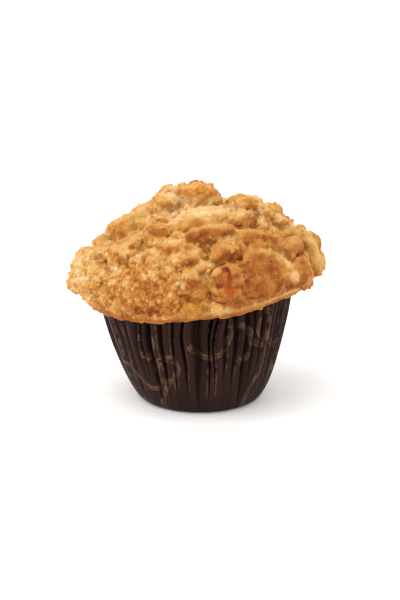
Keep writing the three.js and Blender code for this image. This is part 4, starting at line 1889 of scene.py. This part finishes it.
        # The flat paper is a disc: what the wall is too narrow for is folded away in the creases.
        slant = np.hypot(np.diff(FORM.wall_radius(heights)), np.diff(heights))
        reach = FORM.foot_radius + np.concatenate([[0], np.cumsum(slant)])
        flat = np.concatenate([*foot, *(np.pad(r * circle, ((0, 0), (0, 1))) for r in reach)])
        bare = np.zeros(len(foot) * len(angle))
        write_attributes(
            sheet.data,
            flat_paper=flat + np.array([self.print_offset, self.print_offset, 0.0]),
            fold=np.concatenate([bare, edge.ravel()]),
            crease=np.concatenate([bare, crease.ravel()]),
            sheen=np.concatenate([bare + 0.5, painted_facet_light.ravel()]),
        )
        with edit_mode(sheet, slice(len(angle))):
            bpy.ops.mesh.edge_face_add()
            bpy.ops.mesh.select_all(action="SELECT")
            bpy.ops.mesh.normals_make_consistent(inside=False)
        apply_modifier(sheet, "SOLIDIFY", thickness=self.thickness, offset=-1)
        finish_piece(sheet, self.node, "baking_paper", PrintedPaper().material())


# Studio --------------------------------------------------------------------------------------


@dataclass(frozen=True)
class Lamp:
    """A far, wide light: its strength, how wide it looks in degrees and where it stands."""

    name: str
    power: float
    width: float
    direction: tuple[float, float, float]

    def build(self) -> None:
        """Adds the light."""
        data = bpy.data.lights.new(self.name, "SUN")
        data.energy = self.power
        data.angle = math.radians(self.width)
        data.color = linear("fffcf7")[:3]
        lamp = linked(self.name, data)
        lamp.rotation_euler = Vector(self.direction).to_track_quat("Z", "Y").to_euler()


@dataclass(frozen=True)
class Studio:
    """A white table top under soft light, and the camera a little above the muffin."""

    target: tuple[float, float, float] = (0.0, 0.0, 0.039)
    distance: float = 0.467
    elevation: float = 15.0
    lens: float = 70.0
    sensor: float = 36.0
    sky: float = 1.2
    table: float = 80.0
    lamps: tuple[Lamp, ...] = (
        Lamp("key_light", 1.1, 45, (-0.35, -0.3, 0.88)),
        Lamp("left_light", 0.7, 40, (-0.92, -0.1, 0.35)),
        Lamp("right_light", 0.45, 40, (0.92, 0.1, 0.35)),
    )

    def _floor(self) -> None:
        """Lays the white table top, just under the foot."""
        floor = primitive("plane", "table_top", size=self.table, location=(0, 0, -0.0002))
        paint, tree, *_ = new_material("white_table")
        values = {"Base Color": linear("fdfcfc"), "Roughness": 0.9, "Specular IOR Level": 0.1}
        shader = add_node(tree, "ShaderNodeBsdfPrincipled", values)
        add_node(tree, "ShaderNodeOutputMaterial", (shader.outputs[0],))
        floor.data.materials.append(paint)

    def _camera(self) -> None:
        """Adds the camera."""
        data = bpy.data.cameras.new("camera")
        data.lens, data.sensor_width, data.clip_start = self.lens, self.sensor, 0.01
        tilt = math.radians(self.elevation)
        offset = Vector((0, -math.cos(tilt), math.sin(tilt))) * self.distance
        camera = linked("camera", data)
        camera.location = Vector(self.target) + offset
        camera.rotation_euler = (-offset).to_track_quat("-Z", "Y").to_euler()
        bpy.context.scene.camera = camera

    def build(self) -> None:
        """Sets up the floor, the lights, the world and the camera."""
        self._floor()
        for lamp in self.lamps:
            lamp.build()
        self._camera()
        scene = bpy.context.scene
        scene.world = scene.world or bpy.data.worlds.new("white_room")
        scene.world.use_nodes = True
        tree = scene.world.node_tree
        tree.nodes.clear()
        back = add_node(tree, "ShaderNodeBackground", {"Color": (1, 1, 1, 1), "Strength": self.sky})
        add_node(tree, "ShaderNodeOutputWorld", (back.outputs[0],))
        scene.view_settings.view_transform = "Standard"
        scene.view_settings.look = "None"


# The object ----------------------------------------------------------------------------------

PALE_FLESH = ((0.3, "a87038"), (0.5, "c09050"), (0.7, "d2aa6e"))
AMBER_FLESH = ((0.3, "8e5214"), (0.5, "aa7022"), (0.7, "c0903e"))
CRUMBY_FLESH = ((0.3, "8e4a12"), (0.5, "ac6a22"), (0.7, "c4904c"))
GLAZED_FLESH = ((0.3, "aa621e"), (0.5, "c48438"), (0.7, "d8a662"))
RED_SKIN = ((0.0, "94441c"), (0.2, "60140a"), (0.5, "8a2c0c"), (0.7, "8e3604"), (1.0, "9c4608"))
BROWN_SKIN = ((0.0, "743818"), (0.5, "86461e"), (1.0, "9c5a2a"))


def fruit_chunks() -> list[FruitChunk]:
    """Lists the fruit that shows, with each chunk's flesh and skin.

    Returns:
        The seven chunks.
    """
    blushed = CookedFruit("fruit_blushed", CRUMBY_FLESH, RED_SKIN, "a05c22", 0.42)
    amber = CookedFruit("fruit_amber", AMBER_FLESH, RED_SKIN, "c07a30")
    pale = CookedFruit("fruit_pale", PALE_FLESH, RED_SKIN, "c88440")
    glazed = CookedFruit("fruit_glazed", GLAZED_FLESH, BROWN_SKIN, "b8682a", 0.3)
    return [
        FruitChunk("fruit_chunk_red_skin", Peel.HOOK, 1.0, blushed, 1),
        FruitChunk("fruit_chunk_amber", Peel.NONE, 1.0, amber, 2),
        FruitChunk("fruit_chunk_pale", Peel.NONE, 1.0, pale, 3),
        FruitChunk("fruit_chunk_top", Peel.CAP, 1.4, glazed, 4, bevel=2.0),
        FruitChunk("fruit_chunk_rear_left", Peel.SIDE, 1.2, amber, 5),
        FruitChunk("fruit_chunk_rear_right", Peel.NONE, 1.0, pale, 6),
        FruitChunk("fruit_chunk_rear_high", Peel.HOOK, 0.9, pale, 7),
    ]


def clear_of_fruit(points: np.ndarray, margin: float) -> np.ndarray:
    """Says which points stay this many millimetres clear of every fruit chunk, as 1 or 0.

    Args:
        points: Points on the leaning muffin.
        margin: The distance in millimetres, below 0 where they may overlap it.

    Returns:
        A 1 or a 0 for each point.
    """
    clear = np.ones(len(points))
    for chunk in fruit_chunks():
        low, high = (np.array(corner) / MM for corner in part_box(chunk.node))
        middle, half = (low + high) / 2, (high - low) / 2 + margin
        clear[(((points - middle) / half) ** 2).sum(1) < 1] = 0
    return clear


def main() -> None:
    """Builds the muffin and its studio."""
    logging.basicConfig(level=logging.INFO, format="%(name)s: %(message)s")
    # Without a seed of its own, vector noise takes one from the clock and differs in every run.
    noise.seed_set(NOISE_SEED)
    Studio().build()
    BakedCake().build()
    for chunk in fruit_chunks():
        chunk.build()
    PleatedCase().build()


if __name__ == "__main__":
    main()
